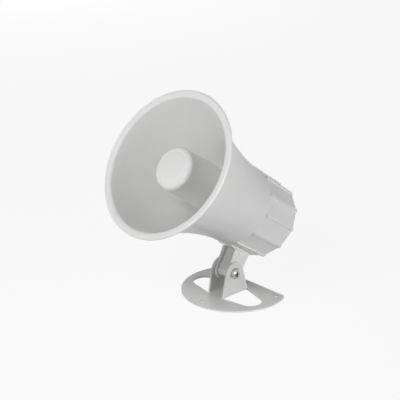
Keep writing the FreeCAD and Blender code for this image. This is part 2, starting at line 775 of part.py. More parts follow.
def make_terminal_tags():
    """Bent tags with an eye each for the soldered wire."""
    tags = []
    half, foot_s, face_x = tag_width / 2, magnet_s - strip_thickness, driver_circle + 0.2
    for r in (-tags_apart / 2, tags_apart / 2):
        foot = block(foot_s - tag_sheet, foot_s, r - half, r + half, driver_circle - 2.0, driver_circle + 1.5)
        blade = block(magnet_s - tag_length, foot_s - 0.2, r - half, r + half, face_x - tag_sheet, face_x)
        eye = Part.makeCylinder(0.2 * tag_width, 4 * tag_sheet, station(magnet_s - 0.8 * tag_length, r, face_x - 1),
                                Vector(1, 0, 0))
        tags.append(joined(foot, [blade]).cut(eye))
    return Part.makeCompound(tags)


# --- Siren board ---
def board_corners():
    inset = post_radius + 0.2
    return [(board_up + v * (board_depth / 2 - inset), h * (board_width / 2 - inset))
            for v in (-1, 1) for h in (-1, 1)]


def make_board():
    slab = block(board_back_s, board_s, board_up - board_depth / 2, board_up + board_depth / 2,
                 -board_width / 2, board_width / 2)
    corners = [e for e in slab.Edges if abs(e.tangentAt(e.FirstParameter).y) > 0.99]
    slab = slab.makeFillet(2.0, corners)
    holes = [rod(board_back_s - 1, board_s + 1, board_screw + bolt_slack, r, x) for r, x in board_corners()]
    return slab.cut(holes)


def make_board_screws():
    screws = []
    for r, x in board_corners():
        shank = rod(inside_s + 1.0, board_s, board_screw, r, x)
        top = board_s + board_screw_head_height
        head = rod(board_s, top, board_screw_head, r, x)
        recess = cross_recess(station(top, r, x), Vector(0, 1, 0), Vector(0, 0, 1),
                              0.55 * board_screw_head, 0.65 * board_screw_head_height)
        screws.append(joined(shank, [head]).cut(recess))
    return Part.makeCompound(screws)


def on_board(height, r_low, r_high, x_low, x_high, lift=0.0):
    """Box on the board's front, measured from the board's middle."""
    return block(board_s + lift, board_s + lift + height, board_up + r_low, board_up + r_high, x_low, x_high)


def make_siren_chip():
    """Eight-legged chip."""
    places = [chip_pitch * step for step in (-1.5, -0.5, 0.5, 1.5)]
    body = on_board(3.3, -3.2, 3.2, -5.0, 5.0, 0.6)
    legs = [on_board(2.4, side * 3.6 - 0.2, side * 3.6 + 0.2, x - 0.25, x + 0.25)
            for side in (-1, 1) for x in places]
    shoulders = [on_board(0.3, side * 3.5 - 0.5, side * 3.5 + 0.3, x - 0.25, x + 0.25, 2.1)
                 for side in (-1, 1) for x in places]
    return joined(body, legs + shoulders)


def make_transistors():
    """Two power transistors standing on the board, each with its metal tab."""
    pieces = []
    for x in (-16.0, 11.0):
        body = on_board(6.2, 2.6, 6.8, x, x + 6.5, 1.6)
        tab = on_board(2.0, 5.6, 6.8, x, x + 6.5, 7.7)
        legs = [on_board(2.0, 4.3, 4.9, x + 3.25 + k * 1.8 - 0.3, x + 3.25 + k * 1.8 + 0.3) for k in (-1, 0, 1)]
        pieces.append(joined(body, [tab] + legs))
    return Part.makeCompound(pieces)


def make_capacitor():
    """Electrolytic can with a rolled groove near its foot."""
    radius, height, r, x = 4.0, 9.0, board_up - 8.6, 6.5
    can = rod(board_s, board_s + height, radius, r, x)
    groove = rod(board_s + 1.4, board_s + 2.1, radius + 1, r, x).cut(rod(board_s, board_s + 4, radius - 0.35, r, x))
    return can.cut(groove)


def make_resistors():
    pieces = []
    for r in (9.2, 12.0):
        for x in (-7.0, 4.5):
            body = Part.makeCylinder(0.9, 4.6, station(board_s + 1.2, board_up + r, x - 2.3), Vector(1, 0, 0))
            wire = Part.makeCylinder(0.3, 8.0, station(board_s + 1.2, board_up + r, x - 4.0), Vector(1, 0, 0))
            feet = [rod(board_s, board_s + 1.6, 0.36, board_up + r, x + k * 3.8) for k in (-1, 1)]
            pieces.append(joined(body, [wire] + feet))
    return Part.makeCompound(pieces)


def block_screw_places():
    return [(-9.4, -9.5), (-9.4, -4.5)]


def make_lead_block():
    """Two-way screw block that the supply leads are clamped in."""
    body = on_board(7.5, -13.2, -6.0, -12.0, -2.0)
    wells = [rod(board_s + 5.0, board_s + 8.5, 1.7, board_up + r, x) for r, x in block_screw_places()]
    mouths = [on_board(2.6, -14.0, -11.0, x - 1.4, x + 1.4, 1.2) for _, x in block_screw_places()]
    return body.cut(wells + mouths)


def make_lead_block_screws():
    screws = []
    for r, x in block_screw_places():
        head = rod(board_s + 5.0, board_s + 6.8, 1.6, board_up + r, x)
        slot = on_board(2.0, r - 2.0, r + 2.0, x - 0.25, x + 0.25, 6.0)
        screws.append(head.cut(slot))
    return Part.makeCompound(screws)


def wire_along(points):
    """Tube of straight runs joined by arcs as large as the runs allow, and its arcs' radii."""
    places = [station(*p) for p in points]
    edges, radii, here = [], [], places[0]
    for before, corner, after in zip(places, places[1:], places[2:]):
        back, on = before - corner, after - corner
        turn = math.pi - back.getAngle(on)
        reach = 0.45 * min(back.Length, on.Length)
        radii.append(reach / math.tan(turn / 2))
        back.normalize()
        on.normalize()
        start, end = corner + back * reach, corner + on * reach
        centre_way = back + on
        centre_way.normalize()
        depth = reach / math.cos(back.getAngle(on) / 2) - radii[-1]
        edges += [Part.makeLine(here, start), Part.Arc(start, corner + centre_way * depth, end).toShape()]
        here = end
    edges.append(Part.makeLine(here, places[-1]))
    spine = Part.Wire(edges)
    first = places[1] - places[0]
    section = Part.Wire(Part.makeCircle(lead_radius, places[0], first))
    return spine.makePipeShell([section], True, False), radii, spine.Length


def make_driver_lead(side):
    """Wire from a hole near the board's edge to one of the driver's tags."""
    start_x, tag_r = board_width / 2 - 5.5, side * tags_apart / 2
    on_tag = driver_circle + 0.2 + lead_radius
    points = [
        (board_s, board_up + side * 2.0 - 7.5, start_x),
        (board_s + 3.6, board_up + side * 2.0 - 7.5, start_x),
        (board_s + 7.4, tag_r - 0.5, start_x + 4.2),
        (board_s + 9.0, tag_r, on_tag - 2.5),
        (yoke_back_s + 2.6, tag_r, on_tag + 0.14),
        (magnet_s - tag_length + 0.2, tag_r, on_tag),
        (magnet_s - tag_length / 2, tag_r, on_tag),
    ]
    tube, radii, length = wire_along(points)
    print("driver lead", side, "length", round(length, 1), "radii", [round(r, 1) for r in radii],
          "volume ratio", round(tube.Volume / (math.pi * lead_radius ** 2 * length), 4))
    return tube


# --- Build and export ---
def tilted(shape):
    """The horn's pieces, raised about the pivot."""
    turned_shape = shape.copy()
    turned_shape.rotate(pivot, Vector(1, 0, 0), -tilt)
    return turned_shape


bracket_pieces = {
    "mounting_bracket": make_bracket,
    "pivot_bolt": make_pivot_bolt,
    "flat_washer": make_flat_washer,
    "spring_washer": make_spring_washer,
    "pivot_nut": make_pivot_nut,
}
horn_pieces = {
    "horn_bell": make_bell,
    "reflector_bullet": make_bullet,
    "tone_tube": make_tone_tube,
    "rear_housing": make_housing,
    "pivot_leg": make_pivot_leg,
    "housing_seal": make_housing_seal,
    "housing_screws": make_housing_screws,
    "lead_grommet": make_grommet,
    "throat_gasket": make_throat_gasket,
    "compression_cap": make_compression_cap,
    "phase_plug": make_phase_plug,
    "diaphragm_dome": make_dome,
    "coil_former": make_former,
    "voice_coil": make_voice_coil,
    "diaphragm_surround": make_surround,
    "clamp_ring": make_clamp_ring,
    "top_plate": make_top_plate,
    "ring_magnet": make_magnet,
    "magnet_yoke": make_yoke,
    "driver_screws": make_driver_screws,
    "terminal_strip": make_terminal_strip,
    "terminal_tags": make_terminal_tags,
    "siren_board": make_board,
    "board_screws": make_board_screws,
    "siren_chip": make_siren_chip,
    "power_transistors": make_transistors,
    "supply_capacitor": make_capacitor,
    "resistors": make_resistors,
    "lead_block": make_lead_block,
    "lead_block_screws": make_lead_block_screws,
    "driver_lead_upper": lambda: make_driver_lead(1),
    "driver_lead_lower": lambda: make_driver_lead(-1),
}

os.makedirs("parts", exist_ok=True)
for name, make in bracket_pieces.items():
    make().exportStep("parts/" + name + ".step")
for name, make in horn_pieces.items():
    tilted(make()).exportStep("parts/" + name + ".step")
print("pieces", len(bracket_pieces) + len(horn_pieces), "housing length", round(housing_length, 2))
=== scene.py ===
import json
import math

import bmesh
import bpy
from mathutils import Matrix, Vector


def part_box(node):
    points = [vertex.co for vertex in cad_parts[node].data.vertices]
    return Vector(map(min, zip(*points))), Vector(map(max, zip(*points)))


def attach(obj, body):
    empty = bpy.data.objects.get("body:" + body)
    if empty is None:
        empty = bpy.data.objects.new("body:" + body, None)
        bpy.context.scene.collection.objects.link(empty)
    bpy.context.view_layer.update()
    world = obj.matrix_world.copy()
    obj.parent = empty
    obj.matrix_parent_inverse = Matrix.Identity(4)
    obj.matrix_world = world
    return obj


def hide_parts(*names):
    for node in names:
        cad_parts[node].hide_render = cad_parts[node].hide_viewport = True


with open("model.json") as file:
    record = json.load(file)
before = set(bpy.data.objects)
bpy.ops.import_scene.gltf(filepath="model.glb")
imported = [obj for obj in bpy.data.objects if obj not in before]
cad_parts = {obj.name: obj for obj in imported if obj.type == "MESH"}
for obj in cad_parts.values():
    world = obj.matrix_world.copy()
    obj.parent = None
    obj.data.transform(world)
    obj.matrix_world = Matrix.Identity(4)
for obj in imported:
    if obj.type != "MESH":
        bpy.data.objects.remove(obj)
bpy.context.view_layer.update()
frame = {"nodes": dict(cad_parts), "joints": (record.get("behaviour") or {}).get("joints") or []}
nodes = frame["nodes"]
scene = bpy.context.scene
print("frame loaded:", len(nodes), "nodes")

# where things are
joints = {joint["name"]: joint for joint in frame["joints"]}
pivot = Vector(joints["horn_tilt"]["pos_m"])
stroke = Vector(joints["coil_stroke"]["axis"])
tilt = math.atan2(stroke.z, -stroke.y)
levelled = Matrix.Rotation(tilt, 4, "X") @ Matrix.Translation(-pivot)


def levelBox(node):
    # corners of a node with the horn turned level about the pivot
    corners = [levelled @ v.co for v in nodes[node].data.vertices]
    low = Vector([min(c[i] for c in corners) for i in range(3)])
    high = Vector([max(c[i] for c in corners) for i in range(3)])
    return low, high


coilLow, coilHigh = levelBox("voice_coil")
axisHeight = (coilLow.z + coilHigh.z) / 2
# a piece drawn with its axis on Y and the pivot's station at 0 goes to its place with this
onHorn = (Matrix.Translation(pivot) @ Matrix.Rotation(-tilt, 4, "X")
          @ Matrix.Translation((0, 0, axisHeight)))
bellLow, bellHigh = levelBox("horn_bell")
bulletLow, bulletHigh = levelBox("reflector_bullet")
housingLow, housingHigh = levelBox("rear_housing")
mouthY, seamY, rearY = bellLow.y, housingLow.y, housingHigh.y
bellRadius = bellHigh.x
ribTop = housingHigh.x
ribHeight = 0.001
cornerRadius = ribTop - ribHeight  # the housing's corners under their ribs
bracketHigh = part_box("mounting_bracket")[1]


# node helpers
def addNode(tree, kind, inputs=None, **settings):
    node = tree.nodes.new("ShaderNode" + kind)
    for key, value in settings.items():
        setattr(node, key, value)
    for key, value in (inputs or {}).items():
        if isinstance(value, bpy.types.NodeSocket):
            tree.links.new(value, node.inputs[key])
        else:
            node.inputs[key].default_value = value
    return node


def maths(tree, operation, a, b=0.0, clamp=False):
    return addNode(tree, "Math", {0: a, 1: b}, operation=operation, use_clamp=clamp).outputs[0]


def mixColour(tree, factor, a, b, blend="MIX"):
    node = addNode(tree, "Mix", {0: factor, 6: a, 7: b}, data_type="RGBA", blend_type=blend)
    return node.outputs[2]


def spread(tree, value, low, high, newLow=0.0, newHigh=1.0):
    node = addNode(tree, "MapRange", {0: value, 1: low, 2: high, 3: newLow, 4: newHigh})
    return node.outputs[0]


def newGroup(name, inputs, outputs):
    # shader node group with named sockets, its in and out nodes ready
    group = bpy.data.node_groups.new(name, "ShaderNodeTree")
    for label, kind, value in inputs:
        socket = group.interface.new_socket(label, in_out="INPUT", socket_type="NodeSocket" + kind)
        if value is not None:
            socket.default_value = value
    for label, kind in outputs:
        group.interface.new_socket(label, in_out="OUTPUT", socket_type="NodeSocket" + kind)
    return group, group.nodes.new("NodeGroupInput"), group.nodes.new("NodeGroupOutput")


def useGroup(tree, group, inputs=None):
    node = tree.nodes.new("ShaderNodeGroup")
    node.node_tree = group
    for key, value in (inputs or {}).items():
        if isinstance(value, bpy.types.NodeSocket):
            tree.links.new(value, node.inputs[key])
        else:
            node.inputs[key].default_value = value
    return node


# shared effects
def makeEdgeGroup():
    # mask of the edges that hands and weather reach, broken up by noise
    group, start, end = newGroup("edgeWear", [("Vector", "Vector", None), ("Width", "Float", 0.0006),
                                              ("Patchiness", "Float", 300.0)], [("Mask", "Float")])
    rounded = addNode(group, "Bevel", {"Radius": start.outputs["Width"]}, samples=6)
    sharp = addNode(group, "NewGeometry")
    facing = addNode(group, "VectorMath", {0: rounded.outputs[0], 1: sharp.outputs["Normal"]},
                     operation="DOT_PRODUCT").outputs["Value"]
    bent = spread(group, facing, 0.995, 0.90)
    patches = addNode(group, "TexNoise", {"Vector": start.outputs["Vector"],
                                          "Scale": start.outputs["Patchiness"], "Detail": 4.0}).outputs[0]
    broken = spread(group, patches, 0.42, 0.62)
    group.links.new(maths(group, "MULTIPLY", bent, broken, True), end.inputs["Mask"])
    return group


def makeToneGroup():
    # base colour with slow cloudiness, fine speckle and a film of dust on what faces up
    group, start, end = newGroup("surfaceTone", [
        ("Vector", "Vector", None), ("Colour", "Color", (0.8, 0.8, 0.8, 1)),
        ("Dust Colour", "Color", (0.55, 0.52, 0.47, 1)), ("Cloud Scale", "Float", 22.0),
        ("Cloud", "Float", 0.05), ("Speckle", "Float", 0.03), ("Dust", "Float", 0.06)],
        [("Colour", "Color"), ("Dust", "Float")])
    clouds = addNode(group, "TexNoise", {"Vector": start.outputs["Vector"],
                                         "Scale": start.outputs["Cloud Scale"],
                                         "Detail": 3.0, "Roughness": 0.55}).outputs[0]
    specks = addNode(group, "TexNoise", {"Vector": start.outputs["Vector"], "Scale": 1900.0,
                                         "Detail": 2.0}).outputs[0]
    cloudy = maths(group, "MULTIPLY", spread(group, clouds, 0.3, 0.7, -1, 0), start.outputs["Cloud"])
    speckled = maths(group, "MULTIPLY", spread(group, specks, 0.35, 0.65, -1, 0), start.outputs["Speckle"])
    level = maths(group, "ADD", maths(group, "ADD", cloudy, speckled), 1.0)
    shaded = addNode(group, "VectorMath", {0: start.outputs["Colour"], "Scale": level},
                     operation="SCALE").outputs[0]
    upward = addNode(group, "SeparateXYZ", {0: addNode(group, "TexCoord").outputs["Normal"]}).outputs[2]
    lying = spread(group, upward, 0.35, 1.0)
    drift = addNode(group, "TexNoise", {"Vector": start.outputs["Vector"], "Scale": 90.0, "Detail": 6.0,
                                        "Roughness": 0.7}).outputs[0]
    film = maths(group, "MULTIPLY", maths(group, "MULTIPLY", lying, spread(group, drift, 0.35, 0.75)),
                 start.outputs["Dust"], True)
    group.links.new(mixColour(group, film, shaded, start.outputs["Dust Colour"]), end.inputs["Colour"])
    group.links.new(film, end.inputs["Dust"])
    return group


def makeGrainGroup():
    # height of a moulded or sprayed surface: fine grain over slow waves, and its roughness swing
    group, start, end = newGroup("surfaceGrain", [
        ("Vector", "Vector", None), ("Grain Scale", "Float", 1500.0), ("Wave Scale", "Float", 60.0),
        ("Waves", "Float", 0.4), ("Roughness", "Float", 0.4), ("Swing", "Float", 0.08)],
        [("Height", "Float"), ("Roughness", "Float")])
    grain = addNode(group, "TexNoise", {"Vector": start.outputs["Vector"],
                                        "Scale": start.outputs["Grain Scale"],
                                        "Detail": 3.0, "Roughness": 0.5}).outputs[0]
    waves = addNode(group, "TexNoise", {"Vector": start.outputs["Vector"],
                                        "Scale": start.outputs["Wave Scale"],
                                        "Detail": 1.0}).outputs[0]
    height = maths(group, "ADD", grain, maths(group, "MULTIPLY", waves, start.outputs["Waves"]))
    smears = addNode(group, "TexNoise", {"Vector": start.outputs["Vector"], "Scale": 35.0, "Detail": 5.0,
                                         "Roughness": 0.65}).outputs[0]
    swing = maths(group, "MULTIPLY", spread(group, smears, 0.3, 0.7, -1, 1), start.outputs["Swing"])
    group.links.new(height, end.inputs["Height"])
    group.links.new(maths(group, "ADD", start.outputs["Roughness"], swing, True), end.inputs["Roughness"])
    return group


edgeWear = makeEdgeGroup()
surfaceTone = makeToneGroup()
surfaceGrain = makeGrainGroup()


# finishes
def startFinish(name):
    finish = bpy.data.materials.new(name)
    finish.use_nodes = True
    tree = finish.node_tree
    shader = tree.nodes["Principled BSDF"]
    place = addNode(tree, "TexCoord").outputs["Object"]
    return finish, tree, shader, place


def coatedFinish(name, look):
    # plastic, paint, rubber or metal from the shared effects; look holds what differs
    finish, tree, shader, place = startFinish(name)
    tone = useGroup(tree, surfaceTone, {
        "Vector": place, "Colour": (*look["colour"], 1), "Cloud": look.get("cloud", 0.05),
        "Cloud Scale": look.get("cloudScale", 22.0), "Speckle": look.get("speckle", 0.03),
        "Dust": look.get("dust", 0.05)})
    grain = useGroup(tree, surfaceGrain, {
        "Vector": place, "Grain Scale": look.get("grainScale", 1500.0),
        "Wave Scale": look.get("waveScale", 60.0), "Waves": look.get("waves", 0.4),
        "Roughness": look["roughness"], "Swing": look.get("swing", 0.06)})
    wear = useGroup(tree, edgeWear, {"Vector": place, "Width": look.get("edgeWidth", 0.0005)}).outputs["Mask"]
    worn = maths(tree, "MULTIPLY", wear, look.get("wear", 0.3))
    colour = mixColour(tree, worn, tone.outputs["Colour"], (*look.get("edgeColour", look["colour"]), 1))
    tree.links.new(colour, shader.inputs["Base Color"])
    rough = maths(tree, "ADD", grain.outputs["Roughness"],
                  maths(tree, "MULTIPLY", tone.outputs["Dust"], 0.8), True)
    tree.links.new(rough, shader.inputs["Roughness"])
    bump = addNode(tree, "Bump", {"Height": grain.outputs["Height"], "Strength": look.get("bump", 0.1),
                                  "Distance": look.get("bumpDepth", 0.0001)})
    tree.links.new(bump.outputs[0], shader.inputs["Normal"])
    shader.inputs["Metallic"].default_value = look.get("metallic", 0.0)
    shader.inputs["Specular IOR Level"].default_value = look.get("specular", 0.5)
    shader.inputs["Coat Weight"].default_value = look.get("coat", 0.0)
    shader.inputs["Coat Roughness"].default_value = look.get("coatRoughness", 0.1)
    return finish


whitePlastic = coatedFinish("whitePlastic", {
    "colour": (0.89, 0.89, 0.885), "roughness": 0.33, "specular": 0.25, "bump": 0.12,
    "grainScale": 1300.0, "waves": 1.2, "cloud": 0.035, "speckle": 0.015, "dust": 0.04, "wear": 0.35,
    "edgeColour": (0.91, 0.91, 0.905), "edgeWidth": 0.0005})
whitePaint = coatedFinish("whitePaint", {
    "colour": (0.83, 0.83, 0.82), "roughness": 0.40, "specular": 0.25, "bump": 0.35,
    "grainScale": 700.0, "waves": 0.8, "waveScale": 260.0, "cloud": 0.03, "speckle": 0.03,
    "dust": 0.06, "wear": 0.30,
    "edgeColour": (0.80, 0.80, 0.79), "edgeWidth": 0.0003})
brightSteel = coatedFinish("brightSteel", {
    "colour": (0.48, 0.48, 0.475), "metallic": 1.0, "roughness": 0.16, "bump": 0.15, "grainScale": 2600.0,
    "waves": 1.5, "waveScale": 400.0, "cloud": 0.12, "cloudScale": 260.0, "speckle": 0.08, "dust": 0.03,
    "wear": 0.5, "edgeColour": (0.80, 0.80, 0.79), "edgeWidth": 0.0003})
dullZinc = coatedFinish("dullZinc", {
    "colour": (0.20, 0.20, 0.205), "metallic": 1.0, "roughness": 0.30, "bump": 0.25, "grainScale": 2200.0,
    "waves": 1.0, "waveScale": 300.0, "cloud": 0.25, "cloudScale": 300.0, "speckle": 0.15, "dust": 0.03,
    "wear": 0.5, "edgeColour": (0.45, 0.45, 0.44), "edgeWidth": 0.0003})
plainSteel = coatedFinish("plainSteel", {
    "colour": (0.45, 0.45, 0.44), "metallic": 1.0, "roughness": 0.34, "bump": 0.2, "grainScale": 2000.0,
    "cloud": 0.15, "cloudScale": 120.0, "speckle": 0.1, "dust": 0.05, "wear": 0.5,
    "edgeColour": (0.66, 0.66, 0.65)})
blackRubber = coatedFinish("blackRubber", {
    "colour": (0.028, 0.028, 0.029), "roughness": 0.62, "bump": 0.3, "grainScale": 1700.0, "cloud": 0.2,
    "speckle": 0.2, "dust": 0.10, "wear": 0.4, "edgeColour": (0.07, 0.07, 0.07)})
blackPhenolic = coatedFinish("blackPhenolic", {
    "colour": (0.035, 0.032, 0.03), "roughness": 0.45, "bump": 0.25, "grainScale": 900.0, "cloud": 0.2,
    "speckle": 0.3, "dust": 0.05, "wear": 0.4, "edgeColour": (0.09, 0.085, 0.08)})
ferriteGrey = coatedFinish("ferriteGrey", {
    "colour": (0.075, 0.075, 0.08), "roughness": 0.55, "bump": 0.5, "grainScale": 1100.0, "cloud": 0.25,
    "speckle": 0.3, "dust": 0.05, "wear": 0.6, "edgeColour": (0.16, 0.16, 0.165)})
tinnedBrass = coatedFinish("tinnedBrass", {
    "colour": (0.68, 0.65, 0.55), "metallic": 1.0, "roughness": 0.28, "bump": 0.2, "cloud": 0.15,
    "speckle": 0.08, "wear": 0.6, "edgeColour": (0.72, 0.56, 0.28)})
fibreBoard = coatedFinish("fibreBoard", {
    "colour": (0.24, 0.13, 0.06), "roughness": 0.6, "bump": 0.4, "grainScale": 800.0, "cloud": 0.25,
    "speckle": 0.35, "wear": 0.4, "edgeColour": (0.34, 0.20, 0.11)})
epoxyBlack = coatedFinish("epoxyBlack", {
    "colour": (0.022, 0.022, 0.024), "roughness": 0.5, "bump": 0.35, "grainScale": 2600.0, "cloud": 0.15,
    "speckle": 0.25, "wear": 0.3, "edgeColour": (0.06, 0.06, 0.06)})
terminalGreen = coatedFinish("terminalGreen", {
    "colour": (0.025, 0.20, 0.075), "roughness": 0.4, "bump": 0.15, "cloud": 0.1, "speckle": 0.08,
    "wear": 0.4, "edgeColour": (0.06, 0.30, 0.13)})
redLead = coatedFinish("redLead", {
    "colour": (0.42, 0.018, 0.012), "roughness": 0.38, "bump": 0.12, "cloud": 0.1, "speckle": 0.06,
    "wear": 0.2, "edgeColour": (0.5, 0.05, 0.04)})
blackLead = coatedFinish("blackLead", {
    "colour": (0.02, 0.02, 0.021), "roughness": 0.4, "bump": 0.12, "cloud": 0.1, "speckle": 0.1,
    "wear": 0.2, "edgeColour": (0.05, 0.05, 0.05)})


def alongHorn(tree, place):
    # object coordinates turned so that Z runs along the horn's axis
    node = addNode(tree, "Mapping", {"Vector": place, "Location": -(onHorn @ Vector((0, 0, 0)))},
                   vector_type="POINT")
    turned = addNode(tree, "Mapping", {"Vector": node.outputs[0], "Rotation": (tilt + math.pi / 2, 0, 0)},
                     vector_type="POINT")
    return turned.outputs[0]


def makeCopperFinish():
    # enamelled wire wound side by side
    finish, tree, shader, place = startFinish("copperWinding")
    wound = alongHorn(tree, place)
    rows = addNode(tree, "TexWave", {"Vector": wound, "Scale": 900.0, "Distortion": 0.15},
                   wave_type="BANDS", bands_direction="Z").outputs[1]
    colour = mixColour(tree, rows, (0.30, 0.09, 0.03, 1), (0.72, 0.28, 0.11, 1))
    tree.links.new(colour, shader.inputs["Base Color"])
    shader.inputs["Metallic"].default_value = 0.85
    tree.links.new(spread(tree, rows, 0, 1, 0.42, 0.24), shader.inputs["Roughness"])
    bump = addNode(tree, "Bump", {"Height": rows, "Strength": 0.6, "Distance": 0.0002})
    tree.links.new(bump.outputs[0], shader.inputs["Normal"])
    return finish


def makeFilmFinish(name, light, dark):
    # pressed resin-soaked cloth: a fine weave under amber varnish
    finish, tree, shader, place = startFinish(name)
    turned = alongHorn(tree, place)
    warp = addNode(tree, "TexWave", {"Vector": turned, "Scale": 1400.0}, bands_direction="X").outputs[1]
    weft = addNode(tree, "TexWave", {"Vector": turned, "Scale": 1400.0}, bands_direction="Y").outputs[1]
    weave = maths(tree, "MULTIPLY", warp, weft)
    stain = addNode(tree, "TexNoise", {"Vector": place, "Scale": 160.0, "Detail": 4.0}).outputs[0]
    colour = mixColour(tree, maths(tree, "MULTIPLY", weave, stain, True), (*dark, 1), (*light, 1))
    tree.links.new(colour, shader.inputs["Base Color"])
    tree.links.new(spread(tree, stain, 0.3, 0.7, 0.35, 0.5), shader.inputs["Roughness"])
    bump = addNode(tree, "Bump", {"Height": weave, "Strength": 0.4, "Distance": 0.0001})
    tree.links.new(bump.outputs[0], shader.inputs["Normal"])
    return finish


def makeBoardFinish():
    # green lacquer over copper tracks, on glass fibre
    finish, tree, shader, place = startFinish("circuitGreen")
    flat = alongHorn(tree, place)
    cells = addNode(tree, "TexVoronoi", {"Vector": flat, "Scale": 330.0, "Randomness": 0.55},
                    feature="DISTANCE_TO_EDGE", distance="EUCLIDEAN").outputs[0]
    tracks = spread(tree, cells, 0.16, 0.20, 1.0, 0.0)
    weave = addNode(tree, "TexBrick", {"Vector": flat, "Scale": 900.0, "Mortar Size": 0.05,
                                       "Color1": (0.012, 0.105, 0.035, 1), "Color2": (0.010, 0.088, 0.030, 1),
                                       "Mortar": (0.016, 0.13, 0.045, 1)})
    colour = mixColour(tree, tracks, weave.outputs[0], (0.035, 0.20, 0.075, 1))
    tree.links.new(colour, shader.inputs["Base Color"])
    tree.links.new(spread(tree, cells, 0.1, 0.5, 0.28, 0.42), shader.inputs["Roughness"])
    shader.inputs["Coat Weight"].default_value = 0.4
    bump = addNode(tree, "Bump", {"Height": tracks, "Strength": 0.5, "Distance": 0.00005})
    tree.links.new(bump.outputs[0], shader.inputs["Normal"])
    return finish


def makeCanFinish():
    # shrunk sleeve with a pale stripe down one side
    finish, tree, shader, place = startFinish("capacitorSleeve")
    low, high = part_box("supply_capacitor")
    centre = (low + high) / 2
    offset = addNode(tree, "VectorMath", {0: place, 1: centre}, operation="SUBTRACT").outputs[0]
    side = addNode(tree, "SeparateXYZ", {0: offset}).outputs[0]
    stripe = spread(tree, side, 0.0026, 0.0028)
    stain = addNode(tree, "TexNoise", {"Vector": place, "Scale": 240.0, "Detail": 3.0}).outputs[0]
    sleeve = mixColour(tree, stain, (0.010, 0.016, 0.055, 1), (0.016, 0.028, 0.09, 1))
    tree.links.new(mixColour(tree, stripe, sleeve, (0.42, 0.44, 0.48, 1)), shader.inputs["Base Color"])
    tree.links.new(spread(tree, stain, 0.3, 0.7, 0.22, 0.36), shader.inputs["Roughness"])
    bump = addNode(tree, "Bump", {"Height": stain, "Strength": 0.2, "Distance": 0.0002})
    tree.links.new(bump.outputs[0], shader.inputs["Normal"])
    return finish


def makeResistorFinish():
    # beige lacquer with four colour rings
    finish, tree, shader, place = startFinish("resistorBands")
    across = addNode(tree, "SeparateXYZ", {0: place}).outputs[0]
    stain = addNode(tree, "TexNoise", {"Vector": place, "Scale": 500.0, "Detail": 3.0}).outputs[0]
    rings = addNode(tree, "TexWave", {"Vector": place, "Scale": 290.0}, bands_direction="X").outputs[1]
    body = mixColour(tree, stain, (0.50, 0.36, 0.19, 1), (0.60, 0.45, 0.26, 1))
    bodyLength = 0.0115
    along = addNode(tree, "Math", {0: across, 1: bodyLength}, operation="PINGPONG").outputs[0]
    hue = spread(tree, along, 0, bodyLength)
    ringColour = mixColour(tree, hue, (0.35, 0.03, 0.02, 1), (0.05, 0.03, 0.16, 1))
    ringed = mixColour(tree, spread(tree, rings, 0.72, 0.78), body, ringColour)
    tree.links.new(ringed, shader.inputs["Base Color"])
    tree.links.new(spread(tree, stain, 0.3, 0.7, 0.3, 0.45), shader.inputs["Roughness"])
    bump = addNode(tree, "Bump", {"Height": stain, "Strength": 0.2, "Distance": 0.0001})
    tree.links.new(bump.outputs[0], shader.inputs["Normal"])
    return finish


copperWinding = makeCopperFinish()
domeFilm = makeFilmFinish("domeFilm", (0.46, 0.25, 0.09), (0.20, 0.09, 0.03))
surroundFilm = makeFilmFinish("surroundFilm", (0.40, 0.26, 0.12), (0.18, 0.10, 0.04))
circuitGreen = makeBoardFinish()
capacitorSleeve = makeCanFinish()
resistorBands = makeResistorFinish()
print("finishes made")


# modelling helpers
def finishPiece(name, bm, body, finish, stands=(), place=None, smooth=35.0):
    # puts a finished mesh in its place and in the scene, riding on a body
    bmesh.ops.remove_doubles(bm, verts=bm.verts, dist=1e-6)
    if place is not None:
        bmesh.ops.transform(bm, matrix=place, verts=bm.verts)
    bmesh.ops.recalc_face_normals(bm, faces=bm.faces)
    mesh = bpy.data.meshes.new(name)
    bm.to_mesh(mesh)
    bm.free()
    mesh.shade_smooth()
    mesh.set_sharp_from_angle(angle=math.radians(smooth))
    mesh.materials.append(finish)
    piece = bpy.data.objects.new(name, mesh)
    scene.collection.objects.link(piece)
    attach(piece, body)
    if stands:
        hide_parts(*stands)
    return piece


def softenEdges(piece, width, angle, segments=3, flatness=80):
    # rounds the edges sharper than an angle; the flatness weighs the normals towards large faces
    bevel = piece.modifiers.new("softEdges", "BEVEL")
    bevel.width = width
    bevel.segments = segments
    bevel.limit_method = "ANGLE"
    bevel.angle_limit = math.radians(angle)
    bevel.use_clamp_overlap = True
    even = piece.modifiers.new("evenNormals", "WEIGHTED_NORMAL")
    even.keep_sharp = True
    even.weight = flatness


def newVerts(made):
    return [v for v in made if isinstance(v, bmesh.types.BMVert)]


def drawLine(bm, points):
    # edges through (y, z) points, from the first to the last
    verts = [bm.verts.new((0, y, z)) for y, z in points]
    return verts + [bm.edges.new(pair) for pair in zip(verts, verts[1:])]


def outline(bm, points):
    # closed outline through points; gives its edges
    verts = [bm.verts.new(point) for point in points]
    return [bm.edges.new(pair) for pair in zip(verts, verts[1:] + verts[:1])]


def arcPoints(centre, radius, start, end, steps):
    # (y, z) points on an arc; angles in degrees from +Y towards +Z
    angles = [math.radians(start + (end - start) * i / steps) for i in range(steps + 1)]
    return [(centre[0] + radius * math.cos(a), centre[1] + radius * math.sin(a)) for a in angles]


def spinRound(points, steps):
    # closed body of revolution about Y from an outline of (y, radius) points
    bm = bmesh.new()
    line = drawLine(bm, points)
    bmesh.ops.spin(bm, geom=line, cent=(0, 0, 0), axis=(0, 1, 0), angle=2 * math.pi, steps=steps,
                   use_merge=True, use_duplicate=False)
    return bm


